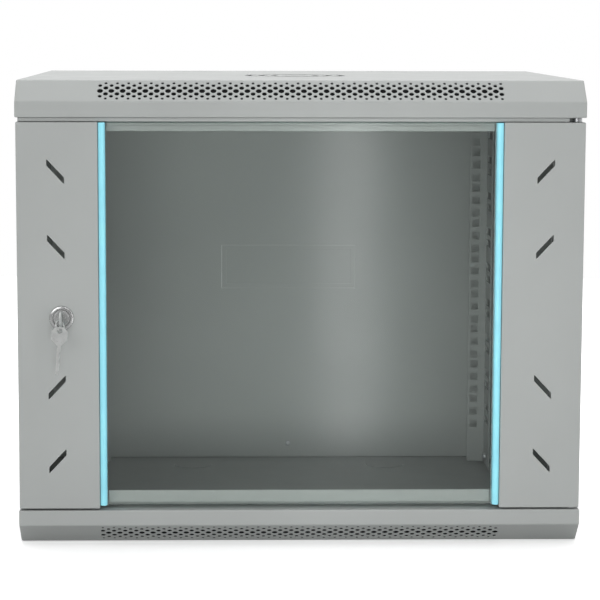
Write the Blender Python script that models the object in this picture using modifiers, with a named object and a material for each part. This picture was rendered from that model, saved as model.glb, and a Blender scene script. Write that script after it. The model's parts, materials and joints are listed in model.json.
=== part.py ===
"""Wall-mount 19-inch network rack cabinet, nine units high, with a glass door.

Metres, +Z up. The front faces -Y, the rear face lies on the wall at +Y. The origin is the centre of the
underside. The door hinges on the right-hand side as seen from the front.
"""

import math

import bmesh
import bpy
from mathutils import Matrix, Vector

MM = 0.001
GAP = 0.3 * MM  # between pieces that touch

# Driving dimensions
WIDTH = 600 * MM
DEPTH = 450 * MM
COVER_H = 38.6 * MM
DOOR_H = 412.4 * MM
DOOR_GAP_BELOW = 2.0 * MM
DOOR_GAP_ABOVE = 4.8 * MM
HEIGHT = 2 * COVER_H + DOOR_GAP_BELOW + DOOR_H + DOOR_GAP_ABOVE
SHEET = 1.5 * MM
UNIT = 44.45 * MM  # one rack unit
UNITS = 9

# Planes that several pieces share
FRONT = -DEPTH / 2
REAR = DEPTH / 2
SIDE = WIDTH / 2
BODY_LOW = COVER_H + GAP
BODY_HIGH = HEIGHT - COVER_H - GAP
POST_FRONT = FRONT + 27 * MM
POST_DEPTH = 30 * MM
POST_IN = 269 * MM
BEAM_D = 12 * MM
BEAM_H = 11.5 * MM
NOSE_FRONT = FRONT + 11 * MM
BODY_SIDE = SIDE - 0.5 * MM
REAR_BACK = REAR - SHEET - GAP
REAR_FLANGE = 25 * MM
MID_Z = HEIGHT / 2

# Covers
BEVEL_H = 22.2 * MM
BEVEL_D = 23.0 * MM
LIP = 34 * MM
STIFFENER_H = 32 * MM
VENT_COUNT = 36
VENT_PITCH = 11.89 * MM
VENT_ROWS = ((0.0, 5.9 * MM), (4.3 * MM, 4.9 * MM), (-4.3 * MM, 4.9 * MM))
FAN_RINGS = (25 * MM, 39.5 * MM, 54 * MM)
FAN_SLOT = 7 * MM
FAN_BRIDGE = 5 * MM
ENTRY_X = 121 * MM
ENTRY_Y = 180 * MM
ENTRY_R = 24 * MM

# Openings in the rear panel
REAR_HOLE_W = 170 * MM
REAR_HOLE_H = 55 * MM
REAR_HOLE_GAP = 0.8 * MM
KEYHOLE_X = 272 * MM
KEYHOLE_FROM_END = 70 * MM
KEYHOLE_R = 6 * MM
KEYHOLE_NECK_W = 5 * MM
KEYHOLE_NECK_H = 14 * MM

# Door
DOOR_LOW = COVER_H + DOOR_GAP_BELOW
DOOR_HIGH = DOOR_LOW + DOOR_H
DOOR_MID = (DOOR_LOW + DOOR_HIGH) / 2
DOOR_SIDE = SIDE - 0.85 * MM
STILE_IN = 213.4 * MM
STILE_D = 20 * MM
LEDGE_Y = FRONT + 16 * MM
LEDGE_W = 7.5 * MM
GLASS_T = 4 * MM
STRIP_IN = 205.7 * MM
STRIP_PROUD = 1.5 * MM
BAR_D = 6 * MM
BAR_TOP = (442.9 * MM, 451.5 * MM)
BAR_BOTTOM = (43.9 * MM, 57.0 * MM)
SLOT_X = 258 * MM
SLOT_RISES = (154.5 * MM, 75 * MM)
SLOT_SIZE = (18.2 * MM, 25.2 * MM)
SLOT_END = 5.5 * MM
HINGE_X = 291.5 * MM
HINGE_Y = FRONT + 9 * MM
PIN_R = 2.5 * MM
HINGE_BRACKET_Z = DOOR_HIGH - 24 * MM

# Door lock and keys
LOCK_X = -252.5 * MM
LOCK_Z = DOOR_MID - 0.5 * MM
BEZEL_R = 12.5 * MM
BARREL_R = 9.5 * MM
BARREL_HOLE = BARREL_R + 0.4 * MM
BARREL_L = 28 * MM
PLUG_R = 6 * MM
PLUG_L = 32 * MM
CAM_T = 2 * MM
CAM_Y = FRONT + 34 * MM
KEY_T = 2 * MM
KEY_HOLE = Vector((LOCK_X, FRONT - 19.8 * MM, LOCK_Z))
SPARE_HANG = Vector((0, -5.5 * MM, -10 * MM))  # from the first key's hole to the spare's
SPARE_TILT = math.radians(4)
KEY_CUTS = (0.0, 1.4 * MM, 0.5 * MM, 1.8 * MM, 0.7 * MM, 1.2 * MM)

# Rails and their brackets
RAIL_IN = 225 * MM
RAIL_OUT = 247.7 * MM
RAIL_FLANGE = 50 * MM
RAIL_LOW = 6 * MM
RAIL_HIGH = HEIGHT - RAIL_LOW
RAIL_FRONT_Y = -150 * MM
RAIL_REAR_Y = 175 * MM
RAIL_HOLE_X = 232.55 * MM
RAIL_HOLE = 9.5 * MM
RAIL_HOLE_STEP = 15.875 * MM
BRACKET_IN = 248 * MM
BRACKET_OUT = 262 * MM
BRACKET_LOW = 2 * MM
BRACKET_H = 31 * MM
BRACKET_FRONT = -190 * MM
BRACKET_SLOT_W = 7.4 * MM
BRACKET_SLOTS = ((-165 * MM, -35 * MM), (35 * MM, 195 * MM))
BOLT_Z = 17 * MM
BOLT_R = 3 * MM
BOLT_HEAD_R = 5 * MM

# Side panels
SIDE_FLANGE = 7 * MM
SIDE_PLAY = 1 * MM  # above and below each panel
SIDE_LOCK_Z = BODY_HIGH - 22 * MM
SIDE_CAM_IN = SIDE_FLANGE + SHEET  # depth of the cam behind the panel's face

# Roof fan and earth stud
FAN_Y = -10 * MM
FAN_SIZE = 120 * MM
FAN_DEEP = 25 * MM
FAN_BORE_R = 57.5 * MM
FAN_HUB_R = 19 * MM
FAN_BLADES = 7
EARTH_AT = (-280 * MM, 150 * MM)


def clear_scene():
    for obj in list(bpy.data.objects):
        bpy.data.objects.remove(obj, do_unlink=True)


def collection(name):
    made = bpy.data.collections.new(name)
    bpy.context.scene.collection.children.link(made)
    return made


def material(name, colour, roughness, metallic=0.0, alpha=1.0):
    made = bpy.data.materials.new(name)
    made.use_nodes = True
    shader = made.node_tree.nodes["Principled BSDF"]
    shader.inputs["Base Color"].default_value = (*colour, 1.0)
    shader.inputs["Roughness"].default_value = roughness
    shader.inputs["Metallic"].default_value = metallic
    shader.inputs["Alpha"].default_value = alpha
    return made


clear_scene()
PARTS = collection("network_rack_cabinet")
CUTTERS = collection("cutters")
PAINT = material("grey_powder_coat", (0.41, 0.43, 0.42), 0.45)
ZINC = material("zinc_plated_steel", (0.62, 0.63, 0.64), 0.35, 1.0)
CHROME = material("chrome", (0.75, 0.76, 0.77), 0.12, 1.0)
GLASS = material("tempered_glass", (0.62, 0.66, 0.65), 0.03, 0.0, 0.3)
BLUE = material("light_blue_plastic", (0.28, 0.76, 0.93), 0.3)
DARK = material("black_plastic", (0.03, 0.03, 0.03), 0.5)


# ---------------------------------------------------------------- helpers


def add(name, mesh, mat, group=None):
    """A new object made from a mesh, in the parts collection unless another is given."""
    obj = bpy.data.objects.new(name, mesh)
    (group or PARTS).objects.link(obj)
    if mat:
        mesh.materials.append(mat)
    return obj


def to_mesh(name, bm):
    mesh = bpy.data.meshes.new(name)
    bm.to_mesh(mesh)
    bm.free()
    return mesh


def box_mesh(name, low, high):
    bm = bmesh.new()
    bmesh.ops.create_cube(bm, size=1.0)
    size = Vector(high) - Vector(low)
    middle = (Vector(high) + Vector(low)) / 2
    place = Matrix.Translation(middle) @ Matrix.Diagonal((*size, 1.0))
    bmesh.ops.transform(bm, matrix=place, verts=bm.verts)
    return to_mesh(name, bm)


def box(name, low, high, mat):
    return add(name, box_mesh(name, low, high), mat)


def prism_mesh(name, outlines, depth, place=None):
    """Flat outlines in local XY, pushed out by half the depth each way, then placed by a matrix."""
    bm = bmesh.new()
    for outline in outlines:
        ring = [bm.verts.new((x, y, -depth / 2)) for x, y in outline]
        face = bm.faces.new(ring)
        grown = bmesh.ops.extrude_face_region(bm, geom=[face])["geom"]
        moved = [g for g in grown if isinstance(g, bmesh.types.BMVert)]
        bmesh.ops.translate(bm, verts=moved, vec=(0, 0, depth))
    bmesh.ops.recalc_face_normals(bm, faces=bm.faces)
    if place:
        bmesh.ops.transform(bm, matrix=place, verts=bm.verts)
    return to_mesh(name, bm)


def cutter(name, mesh):
    obj = add(name, mesh, None, CUTTERS)
    obj.hide_render = True
    obj.display_type = "WIRE"
    return obj


def boolean(obj, tool, operation="DIFFERENCE"):
    mod = obj.modifiers.new(operation.lower(), "BOOLEAN")
    mod.operation = operation
    mod.solver = "EXACT"
    mod.object = tool


def cut_prisms(obj, outlines, depth, place):
    boolean(obj, cutter(f"{obj.name}_cut", prism_mesh(f"{obj.name}_cut", outlines, depth, place)))


def join_mesh(obj, mesh):
    boolean(obj, cutter(f"{obj.name}_join", mesh), "UNION")


def solidify(obj, thickness=SHEET):
    mod = obj.modifiers.new("sheet", "SOLIDIFY")
    mod.thickness = thickness
    mod.offset = -1.0
    mod.use_even_offset = True
    mod.use_quality_normals = True


def folded(name, outline, low, high, place, mat, ends=()):
    """Folded sheet: an open outline in local XY, its outer side on the right, drawn along local Z.

    ends lists the outline's points that close each end with a flat wall.
    """
    bm = bmesh.new()
    rows = [[bm.verts.new((x, y, z)) for x, y in outline] for z in (low, high)]
    for i in range(len(outline) - 1):
        bm.faces.new((rows[0][i], rows[0][i + 1], rows[1][i + 1], rows[1][i]))
    if ends:
        bm.faces.new([rows[0][i] for i in reversed(ends)])
        bm.faces.new([rows[1][i] for i in ends])
    bmesh.ops.transform(bm, matrix=place, verts=bm.verts)
    obj = add(name, to_mesh(name, bm), mat)
    solidify(obj)
    return obj


def turned(name, profile, place, mat, steps=16):
    """A solid or ring turned about local Z; profile points are (radius, height), down the outer side."""
    bm = bmesh.new()
    ring = [bm.verts.new((r, 0, z)) for r, z in profile]
    closed = min(r for r, _ in profile) > 0
    count = len(ring) if closed else len(ring) - 1
    for i in range(count):
        bm.edges.new((ring[i], ring[(i + 1) % len(ring)]))
    obj = add(name, to_mesh(name, bm), mat)
    obj.matrix_world = place
    mod = obj.modifiers.new("turn", "SCREW")
    mod.steps = steps
    mod.render_steps = steps
    mod.use_merge_vertices = True
    mod.merge_threshold = 0.00001
    obj.data.shade_smooth()
    return obj


def circle(radius, count=12, x=0.0, y=0.0, start=0.0):
    turns = (start + 2 * math.pi * i / count for i in range(count))
    return [(x + radius * math.cos(a), y + radius * math.sin(a)) for a in turns]


def rectangle(x, y, width, height):
    w, h = width / 2, height / 2
    return [(x - w, y - h), (x + w, y - h), (x + w, y + h), (x - w, y + h)]


def rounded_slot(x0, x1, y, width, count=4):
    """A slot along local X with round ends."""
    r = width / 2
    turns = [math.pi * (i / count - 0.5) for i in range(count + 1)]
    right = [(x1 - r + r * math.cos(a), y + r * math.sin(a)) for a in turns]
    left = [(x0 + r - r * math.cos(a), y - r * math.sin(a)) for a in turns]
    return right + left


def axes(x, y, z, at=(0, 0, 0)):
    """The matrix whose columns are the given local axes, placed at a point."""
    turn = Matrix((x, y, z)).transposed().to_4x4()
    return Matrix.Translation(at) @ turn


def evaluated_mesh(obj):
    bpy.context.view_layer.update()
    seen = obj.evaluated_get(bpy.context.evaluated_depsgraph_get())
    mesh = bpy.data.meshes.new_from_object(seen)
    mesh.transform(obj.matrix_world)
    return mesh


def reflected(obj, name, axis):
    """The opposite-hand copy of a piece, mirrored in the X or Z direction about the cabinet's centre."""
    mesh = evaluated_mesh(obj)
    flip = Matrix.Identity(4)
    flip[axis][axis] = -1.0
    if axis == 2:
        flip[2][3] = HEIGHT
    mesh.transform(flip)
    mesh.flip_normals()
    made = bpy.data.objects.new(name, mesh)
    PARTS.objects.link(made)
    return made


UP = axes((1, 0, 0), (0, 1, 0), (0, 0, 1))
ALONG_X = axes((0, 1, 0), (0, 0, 1), (1, 0, 0))  # outline in YZ
ALONG_Y = axes((1, 0, 0), (0, 0, 1), (0, -1, 0))  # outline in XZ, drawn towards the front


# ---------------------------------------------------------------- covers and rear


def cover_shell(name):
    """A tray open downwards: rear wall, roof, bevel, front band and the lip under it."""
    low = HEIGHT - COVER_H
    outline = [
        (REAR, low),
        (REAR, HEIGHT),
        (FRONT + BEVEL_D, HEIGHT),
        (FRONT, HEIGHT - BEVEL_H),
        (FRONT, low),
        (FRONT + LIP, low),
    ]
    return folded(name, outline, -SIDE, SIDE, ALONG_X, PAINT, ends=range(len(outline)))


def stiffen(cover):
    """An upturned flange on the lip, which makes a box section behind the vents."""
    back = FRONT + LIP
    low = HEIGHT - COVER_H
    end = SIDE - 2 * SHEET
    join_mesh(cover, box_mesh(f"{cover.name}_stiffener", (-end, back - SHEET, low + SHEET / 2),
                              (end, back, low + STIFFENER_H)))


def vent_outlines():
    """The widest three rows of vent holes along the bevel; local Y is up the slope."""
    holes = []
    start = -VENT_PITCH * (VENT_COUNT - 0.5) / 2
    for row, (rise, diameter) in enumerate(VENT_ROWS):
        shift = VENT_PITCH / 2 if row else 0.0
        corners = 4 if row else 6
        for i in range(VENT_COUNT):
            x = start + shift + i * VENT_PITCH
            holes.append(circle(diameter / 2, corners, x, rise, math.pi / corners))
    return holes


def cut_vents(cover):
    slope = Vector((0, BEVEL_D, BEVEL_H)).normalized()
    out = Vector((1, 0, 0)).cross(slope)
    middle = (0, FRONT + BEVEL_D / 2, HEIGHT - BEVEL_H / 2)
    cut_prisms(cover, vent_outlines(), 4 * SHEET, axes((1, 0, 0), slope, out, middle))


def ring_slot(radius, quarter, count=4):
    """One quarter-ring slot of the fan vent, with a bridge left on each diagonal."""
    half = math.pi / 4 - FAN_BRIDGE / radius
    turns = [quarter * math.pi / 2 - half + 2 * half * i / count for i in range(count + 1)]
    arcs = []
    for r in (radius + FAN_SLOT / 2, radius - FAN_SLOT / 2):
        arcs.append([(r * math.cos(a), r * math.sin(a) + FAN_Y) for a in turns])
    return arcs[0] + arcs[1][::-1]


def cut_flat(cover, fan):
    """Cable entries, hinge-pin holes in the lip and, on the roof, the fan's ring slots."""
    deep = 6 * SHEET
    holes = [circle(ENTRY_R, 20, side * ENTRY_X, ENTRY_Y) for side in (-1, 1)]
    if fan:
        holes += [ring_slot(radius, quarter) for radius in FAN_RINGS for quarter in range(4)]
    cut_prisms(cover, holes, deep, Matrix.Translation((0, 0, HEIGHT)))
    pins = [circle(PIN_R + GAP, 10, side * HINGE_X, HINGE_Y) for side in (-1, 1)]
    cut_prisms(cover, pins, deep, Matrix.Translation((0, 0, HEIGHT - COVER_H)))


def covers():
    top = cover_shell("top_cover")
    stiffen(top)
    cut_vents(top)
    cut_flat(top, fan=True)
    under = cover_shell("bottom_cover")
    stiffen(under)
    cut_vents(under)
    cut_flat(under, fan=False)
    under.matrix_world = Matrix.Translation((0, 0, HEIGHT)) @ Matrix.Rotation(math.pi, 4, "Y")
    for obj in list(CUTTERS.objects):
        if obj.name.startswith("bottom_cover"):
            obj.matrix_world = under.matrix_world


def knockouts():
    """Round blanks that close the cable entries in roof and floor."""
    r = ENTRY_R - 2 * GAP
    profile = [(0, 0), (r, 0), (r, -SHEET), (0, -SHEET)]
    for level, z in (("roof", HEIGHT), ("floor", SHEET)):
        for side, x in (("left", -ENTRY_X), ("right", ENTRY_X)):
            place = Matrix.Translation((x, ENTRY_Y, z))
            turned(f"{level}_knockout_{side}", profile, place, PAINT, 20)


def rear_panel():
    """Flat back sheet between the covers' rear walls, with side flanges folded forwards."""
    half = BODY_SIDE - 1.3 * MM
    heights = (BRACKET_LOW, BODY_LOW, BODY_HIGH, HEIGHT - BRACKET_LOW)
    bm = bmesh.new()
    rows = [[bm.verts.new((x, REAR_BACK, z)) for x in (-half, half)] for z in heights]
    for low, high in zip(rows, rows[1:]):
        bm.faces.new((low[1], low[0], high[0], high[1]))
    for side in (0, 1):
        edge = bm.edges.get((rows[1][side], rows[2][side]))
        grown = bmesh.ops.extrude_edge_only(bm, edges=[edge])["geom"]
        moved = [g for g in grown if isinstance(g, bmesh.types.BMVert)]
        bmesh.ops.translate(bm, verts=moved, vec=(0, -REAR_FLANGE, 0))
    bmesh.ops.recalc_face_normals(bm, faces=bm.faces)
    panel = add("rear_panel", to_mesh("rear_panel", bm), PAINT)
    solidify(panel)
    hole = rectangle(0, MID_Z, REAR_HOLE_W, REAR_HOLE_H)
    rounds = [hole]
    necks = []
    for x in (-KEYHOLE_X, KEYHOLE_X):
        for z in (KEYHOLE_FROM_END, HEIGHT - KEYHOLE_FROM_END):
            rounds.append(circle(KEYHOLE_R, 10, x, z))
            necks.append(rectangle(x, z + KEYHOLE_NECK_H / 2, KEYHOLE_NECK_W, KEYHOLE_NECK_H))
    depth = 12 * MM
    place = ALONG_Y.copy()
    place.translation = (0, REAR_BACK, 0)
    whole = cutter("rear_openings", prism_mesh("rear_openings", rounds, depth, place))
    join_mesh(whole, prism_mesh("keyhole_necks", necks, depth * 0.9, place))
    boolean(panel, whole)
    half_w, half_h = REAR_HOLE_W / 2 - REAR_HOLE_GAP, REAR_HOLE_H / 2 - REAR_HOLE_GAP
    low = (-half_w, REAR_BACK - SHEET, MID_Z - half_h)
    box("rear_knockout", low, (half_w, REAR_BACK, MID_Z + half_h), PAINT)


# ---------------------------------------------------------------- frame inside


def front_frame():
    """Two angle posts and two angle beams that the door closes against.

    The upper beam also has a fold that reaches forwards over the glass and closes the gap above it.
    """
    outline = [(-BODY_SIDE, POST_FRONT + POST_DEPTH), (-BODY_SIDE, POST_FRONT), (-POST_IN, POST_FRONT)]
    post = folded("front_post_left", outline, BODY_LOW, BODY_HIGH, UP, PAINT)
    reflected(post, "front_post_right", 0)
    reach = POST_IN - GAP
    outline = [(POST_FRONT + BEAM_D, BODY_HIGH), (POST_FRONT, BODY_HIGH), (POST_FRONT, BODY_HIGH - BEAM_H)]
    beam = folded("front_beam_top", outline, -reach, reach, ALONG_X, PAINT)
    reflected(beam, "front_beam_bottom", 2)
    root = POST_FRONT + SHEET / 2
    edge = DOOR_HIGH + 2 * GAP
    nose = [(root, BODY_HIGH), (NOSE_FRONT, BODY_HIGH), (NOSE_FRONT, edge), (NOSE_FRONT + SHEET, edge),
            (NOSE_FRONT + SHEET, BODY_HIGH - SHEET), (root, BODY_HIGH - SHEET)]
    join_mesh(beam, prism_mesh("nose", [nose], 2 * (STRIP_IN - GAP), ALONG_X))


def depth_brackets():
    """Channels running front to back that carry the rails, slotted so the rails can slide."""
    low, high = BRACKET_LOW, BRACKET_LOW + BRACKET_H
    outline = [(BRACKET_OUT, high), (BRACKET_IN, high), (BRACKET_IN, low), (BRACKET_OUT, low)]
    back = REAR_BACK - SHEET - GAP
    bracket = folded("depth_bracket_bottom_right", outline, -back, -BRACKET_FRONT, ALONG_Y, PAINT)
    slots = [rounded_slot(y0, y1, BOLT_Z, BRACKET_SLOT_W) for y0, y1 in BRACKET_SLOTS]
    cut_prisms(bracket, slots, 6 * MM, axes((0, 1, 0), (0, 0, 1), (1, 0, 0), (BRACKET_IN, 0, 0)))
    reflected(bracket, "depth_bracket_bottom_left", 0)
    upper = reflected(bracket, "depth_bracket_top_right", 2)
    reflected(upper, "depth_bracket_top_left", 0)


def unit_holes():
    """Three square holes per rack unit: one at its middle and one a step to each side."""
    first = MID_Z - (UNITS - 1) * UNIT / 2
    levels = [first + u * UNIT + k * RAIL_HOLE_STEP for u in range(UNITS) for k in (-1, 0, 1)]
    return [rectangle(RAIL_HOLE_X, z, RAIL_HOLE, RAIL_HOLE) for z in levels]


def rail(name, y, back):
    """An angle rail: square-hole face at y, flange running back (+1) or forwards (-1)."""
    flange_y = y + back * RAIL_FLANGE
    outline = [(RAIL_IN, y), (RAIL_OUT, y), (RAIL_OUT, flange_y)]
    if back < 0:
        outline = outline[::-1]
    obj = folded(name, outline, RAIL_LOW, RAIL_HIGH, UP, PAINT)
    face = axes((1, 0, 0), (0, 0, 1), (0, -1, 0), (0, y, 0))
    boolean(obj, cutter(f"{name}_holes", prism_mesh(name, unit_holes(), 8 * MM, face)))
    mid = y + back * RAIL_FLANGE / 2
    bolt_holes = [circle(BOLT_R + GAP, 8, mid, z) for z in (BOLT_Z, HEIGHT - BOLT_Z)]
    cut_prisms(obj, bolt_holes, 8 * MM, axes((0, 1, 0), (0, 0, 1), (1, 0, 0), (RAIL_OUT, 0, 0)))
    reflected(obj, name.replace("right", "left"), 0)


def rails():
    rail("rail_front_right", RAIL_FRONT_Y, 1)
    rail("rail_rear_right", RAIL_REAR_Y, -1)
    head = RAIL_OUT - SHEET - GAP
    profile = [(0, 4 * MM), (BOLT_HEAD_R, 4 * MM), (BOLT_HEAD_R, 0), (BOLT_R, 0), (BOLT_R, -10 * MM),
               (0, -10 * MM)]
    for which, y in (("front", RAIL_FRONT_Y + RAIL_FLANGE / 2), ("rear", RAIL_REAR_Y - RAIL_FLANGE / 2)):
        for level, z in (("bottom", BOLT_Z), ("top", HEIGHT - BOLT_Z)):
            for side, x in (("left", -1), ("right", 1)):
                turn = Matrix.Rotation(-x * math.pi / 2, 4, "Y")
                place = Matrix.Translation((x * head, y, z)) @ turn
                turned(f"rail_bolt_{which}_{side}_{level}", profile, place, ZINC, 8)


def side_panels():
    """Removable side sheet with front, rear and top flanges; its bottom edge is where it tilts."""
    low, high = COVER_H + SIDE_PLAY, HEIGHT - COVER_H - SIDE_PLAY
    y0, y1 = POST_FRONT + POST_DEPTH + 2 * GAP, REAR_BACK - REAR_FLANGE - 2 * GAP
    x = SIDE - GAP
    flange_low = low + 6 * MM
    bm = bmesh.new()
    rows = [[bm.verts.new((x, y, z)) for y in (y0, y1)] for z in (low, flange_low, high)]
    for below, above in zip(rows, rows[1:]):
        bm.faces.new((below[0], below[1], above[1], above[0]))
    inner = [[bm.verts.new((x - SIDE_FLANGE, y, z)) for y in (y0, y1)] for z in (flange_low, high)]
    bm.faces.new((rows[1][0], rows[2][0], inner[1][0], inner[0][0]))
    bm.faces.new((rows[2][1], rows[1][1], inner[0][1], inner[1][1]))
    bm.faces.new((rows[2][0], rows[2][1], inner[1][1], inner[1][0]))
    panel = add("side_panel_right", to_mesh("side_panel_right", bm), PAINT)
    solidify(panel)
    place = axes((0, 1, 0), (0, 0, 1), (1, 0, 0), (x, 0, 0))
    cut_prisms(panel, [circle(BARREL_HOLE, 16, 0, SIDE_LOCK_Z)], 8 * MM, place)
    reflected(panel, "side_panel_left", 0)


def side_locks():
    """A coin-slot quarter-turn lock at the top middle of each side panel."""
    face = SIDE - GAP
    for side, x in (("left", -1), ("right", 1)):
        turn = Matrix.Rotation(x * math.pi / 2, 4, "Y")
        place = Matrix.Translation((x * face, 0, SIDE_LOCK_Z)) @ turn
        lock_housing(f"side_lock_body_{side}", place, SIDE_CAM_IN - 2.8 * MM, 12)
        plug = lock_plug(f"side_lock_plug_{side}", place, SIDE_CAM_IN - 1.3 * MM, 12)
        slot = box_mesh(f"{plug.name}_slot", (-7 * MM, -0.8 * MM, -0.4 * MM), (7 * MM, 0.8 * MM, 6 * MM))
        slot.transform(place)
        boolean(plug, cutter(f"{plug.name}_slot", slot))
        cam_at = (x * (face - SIDE_CAM_IN), 0, SIDE_LOCK_Z)
        cam_place = axes((0, 1, 0), (0, 0, 1), (1, 0, 0), cam_at)
        cam(f"side_lock_cam_{side}", cam_place, 26 * MM)


# ---------------------------------------------------------------- locks and keys


def lock_housing(name, place, barrel, steps=20):
    """Bezel ring in front, recess for the plug's face, and a barrel behind; local +Z points out."""
    bore, recess = PLUG_R + 0.4 * MM, 9.1 * MM
    profile = [(recess, 2.6 * MM), (BEZEL_R - 1.3 * MM, 2.6 * MM), (BEZEL_R, 1.2 * MM), (BEZEL_R, GAP),
               (BARREL_R, GAP), (BARREL_R, -barrel), (bore, -barrel), (bore, 0.6 * MM), (recess, 0.6 * MM)]
    return turned(name, profile, place, CHROME, steps)


def lock_plug(name, place, length, steps=20):
    """Round face, barrel core and a stub that the cam sits on."""
    face, stub = 8.6 * MM, 3.2 * MM
    profile = [(0, 3.2 * MM), (face, 3.2 * MM), (face, 1.0 * MM), (PLUG_R, 1.0 * MM), (PLUG_R, -length),
               (stub, -length), (stub, -length - 2 * CAM_T), (0, -length - 2 * CAM_T)]
    return turned(name, profile, place, CHROME, steps)


def cam(name, place, reach):
    """Flat cam with a round hole over the plug's stub and rounded ends; local +X is its reach."""
    r = 7 * MM
    turns = [math.pi * (i / 6 - 0.5) for i in range(7)]
    outline = [(reach - r + r * math.cos(a), r * math.sin(a)) for a in turns]
    outline += [(-r * math.cos(a), -r * math.sin(a)) for a in turns]
    obj = add(name, prism_mesh(name, [outline], CAM_T, place), ZINC)
    cut_prisms(obj, [circle(3.5 * MM, 12)], 6 * MM, place)
    return obj


def door_lock():
    place = Matrix.Translation((LOCK_X, FRONT, LOCK_Z)) @ Matrix.Rotation(math.pi / 2, 4, "X")
    lock_housing("lock_housing", place, BARREL_L)
    behind = place @ Matrix.Translation((0, 0, -SHEET - GAP - 2 * MM))
    nut = add("lock_nut", prism_mesh("lock_nut", [circle(14 * MM, 6)], 4 * MM, behind), ZINC)
    cut_prisms(nut, [circle(BARREL_HOLE, 16)], 8 * MM, behind)
    plug = lock_plug("lock_plug", place, PLUG_L)
    half_w, half_h = KEY_T / 2 + GAP, 3.8 * MM
    keyway = box_mesh("keyway", (-half_w, -half_h, -28.5 * MM), (half_w, half_h, 5 * MM))
    keyway.transform(place)
    boolean(plug, cutter("keyway", keyway))
    cam_place = axes((0, 0, -1), (1, 0, 0), (0, -1, 0), (LOCK_X, CAM_Y, LOCK_Z))
    cam("lock_cam", cam_place, 30 * MM)
    screw = [(0, -36.3 * MM), (5 * MM, -36.3 * MM), (5 * MM, -38.3 * MM), (0, -39 * MM)]
    turned("lock_cam_screw", screw, place, ZINC, 12)


def key_outline():
    """Bow with cut corners, shoulder, then a toothed blade towards -X; the origin is the bow's hole."""
    bow_x0, bow_x1, half, cut = -14 * MM, 4 * MM, 8.5 * MM, 4.5 * MM
    tip, shoulder, blade = -47 * MM, -16 * MM, 2.9 * MM
    upper = [(bow_x1, half - cut), (bow_x1 - cut, half), (bow_x0 + cut, half), (bow_x0, half - cut),
             (shoulder, blade)]
    lower = [(x, -y) for x, y in upper]
    teeth = [(shoulder - (1 + i) * 4 * MM, blade - depth) for i, depth in enumerate(KEY_CUTS)]
    point = [(tip, 0.4 * MM), (tip, -blade + 1.5 * MM), (tip + 2 * MM, -blade)]
    return upper + teeth + point + lower[::-1]


def key(name, place):
    obj = add(name, prism_mesh(name, [key_outline()], KEY_T, place), ZINC)
    cut_prisms(obj, [circle(2.9 * MM, 12)], 3 * KEY_T, place)
    return obj


def keys():
    """One key in the lock, edge-on to the front, and a spare hanging from its bow on a split ring."""
    key("key", axes((0, -1, 0), (0, 0, 1), (-1, 0, 0), KEY_HOLE))
    reach = Vector((math.sin(SPARE_TILT), 0, math.cos(SPARE_TILT)))
    across = Vector((math.cos(SPARE_TILT), 0, -math.sin(SPARE_TILT)))
    key("spare_key", axes(reach, across, reach.cross(across), KEY_HOLE + SPARE_HANG))
    down = SPARE_HANG.normalized()
    wire = (Vector((1, 0, 0)) + down.cross(Vector((-1, 0, 0)))).normalized()  # its direction in both holes
    bpy.ops.mesh.primitive_torus_add(major_radius=SPARE_HANG.length / 2, minor_radius=0.55 * MM,
                                     major_segments=20, minor_segments=6)
    ring = bpy.context.object
    ring.name = "key_ring"
    ring.matrix_world = axes(wire, down, wire.cross(down), KEY_HOLE + SPARE_HANG / 2)
    ring.data.materials.append(ZINC)
    for group in list(ring.users_collection):
        group.objects.unlink(ring)
    PARTS.objects.link(ring)


# ---------------------------------------------------------------- door


def slant_outline(x, z, lean):
    """Slanted slot with upright ends; lean +1 rises to the right, -1 falls to the right."""
    w, h = SLOT_SIZE[0] / 2, SLOT_SIZE[1] / 2
    trim = 1.2 * MM
    half = [(-w, -h + trim), (-w + trim, -h + 0.2 * MM), (w - 0.3 * MM, h - SLOT_END - 0.3 * MM),
            (w, h - SLOT_END + 0.6 * MM)]
    ring = half + [(-a, -b) for a, b in half]
    return [(x + lean * a, z + b) for a, b in ring]


def stile_slots(side):
    """Four slots whose slants mirror about the door's middle and about its centre line."""
    found = []
    for rise in SLOT_RISES:
        found.append(slant_outline(side * SLOT_X, DOOR_MID + rise, side))
        found.append(slant_outline(side * SLOT_X, DOOR_MID - rise, -side))
    return found


def stile(name, side):
    """Steel pan with closed ends, and a ledge behind the glass's edge."""
    outline = [(-DOOR_SIDE, FRONT + STILE_D), (-DOOR_SIDE, FRONT), (-STILE_IN, FRONT), (-STILE_IN, LEDGE_Y),
               (-STILE_IN + LEDGE_W, LEDGE_Y)]
    obj = folded("stile_left_blank" if side > 0 else name, outline, DOOR_LOW, DOOR_HIGH, UP, PAINT,
                 ends=(0, 1, 2, 3))
    if side > 0:
        blank = obj
        obj = reflected(blank, name, 0)
        bpy.data.objects.remove(blank)
    front = axes((1, 0, 0), (0, 0, 1), (0, -1, 0), (0, FRONT, 0))
    holes = stile_slots(side)
    if side < 0:
        holes.append(circle(BARREL_HOLE, 16, LOCK_X, LOCK_Z))
    cut_prisms(obj, holes, 8 * MM, front)
    return obj


def door_frame():
    stile("door_stile_left", -1)
    right = stile("door_stile_right", 1)
    hole = [circle(PIN_R + GAP, 10, HINGE_X, HINGE_Y)]
    middle = Matrix.Translation((0, 0, DOOR_MID))
    boolean(right, cutter("door_pin_cut", prism_mesh("door_pin_cut", hole, DOOR_H + 10 * MM, middle)))
    reach = STRIP_IN - GAP
    for name, (low, high) in (("door_bar_top", BAR_TOP), ("door_bar_bottom", BAR_BOTTOM)):
        channel = [(LEDGE_Y + BAR_D, high), (LEDGE_Y, high), (LEDGE_Y, low), (LEDGE_Y + BAR_D, low)]
        folded(name, channel, -reach, reach, ALONG_X, PAINT)


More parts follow.
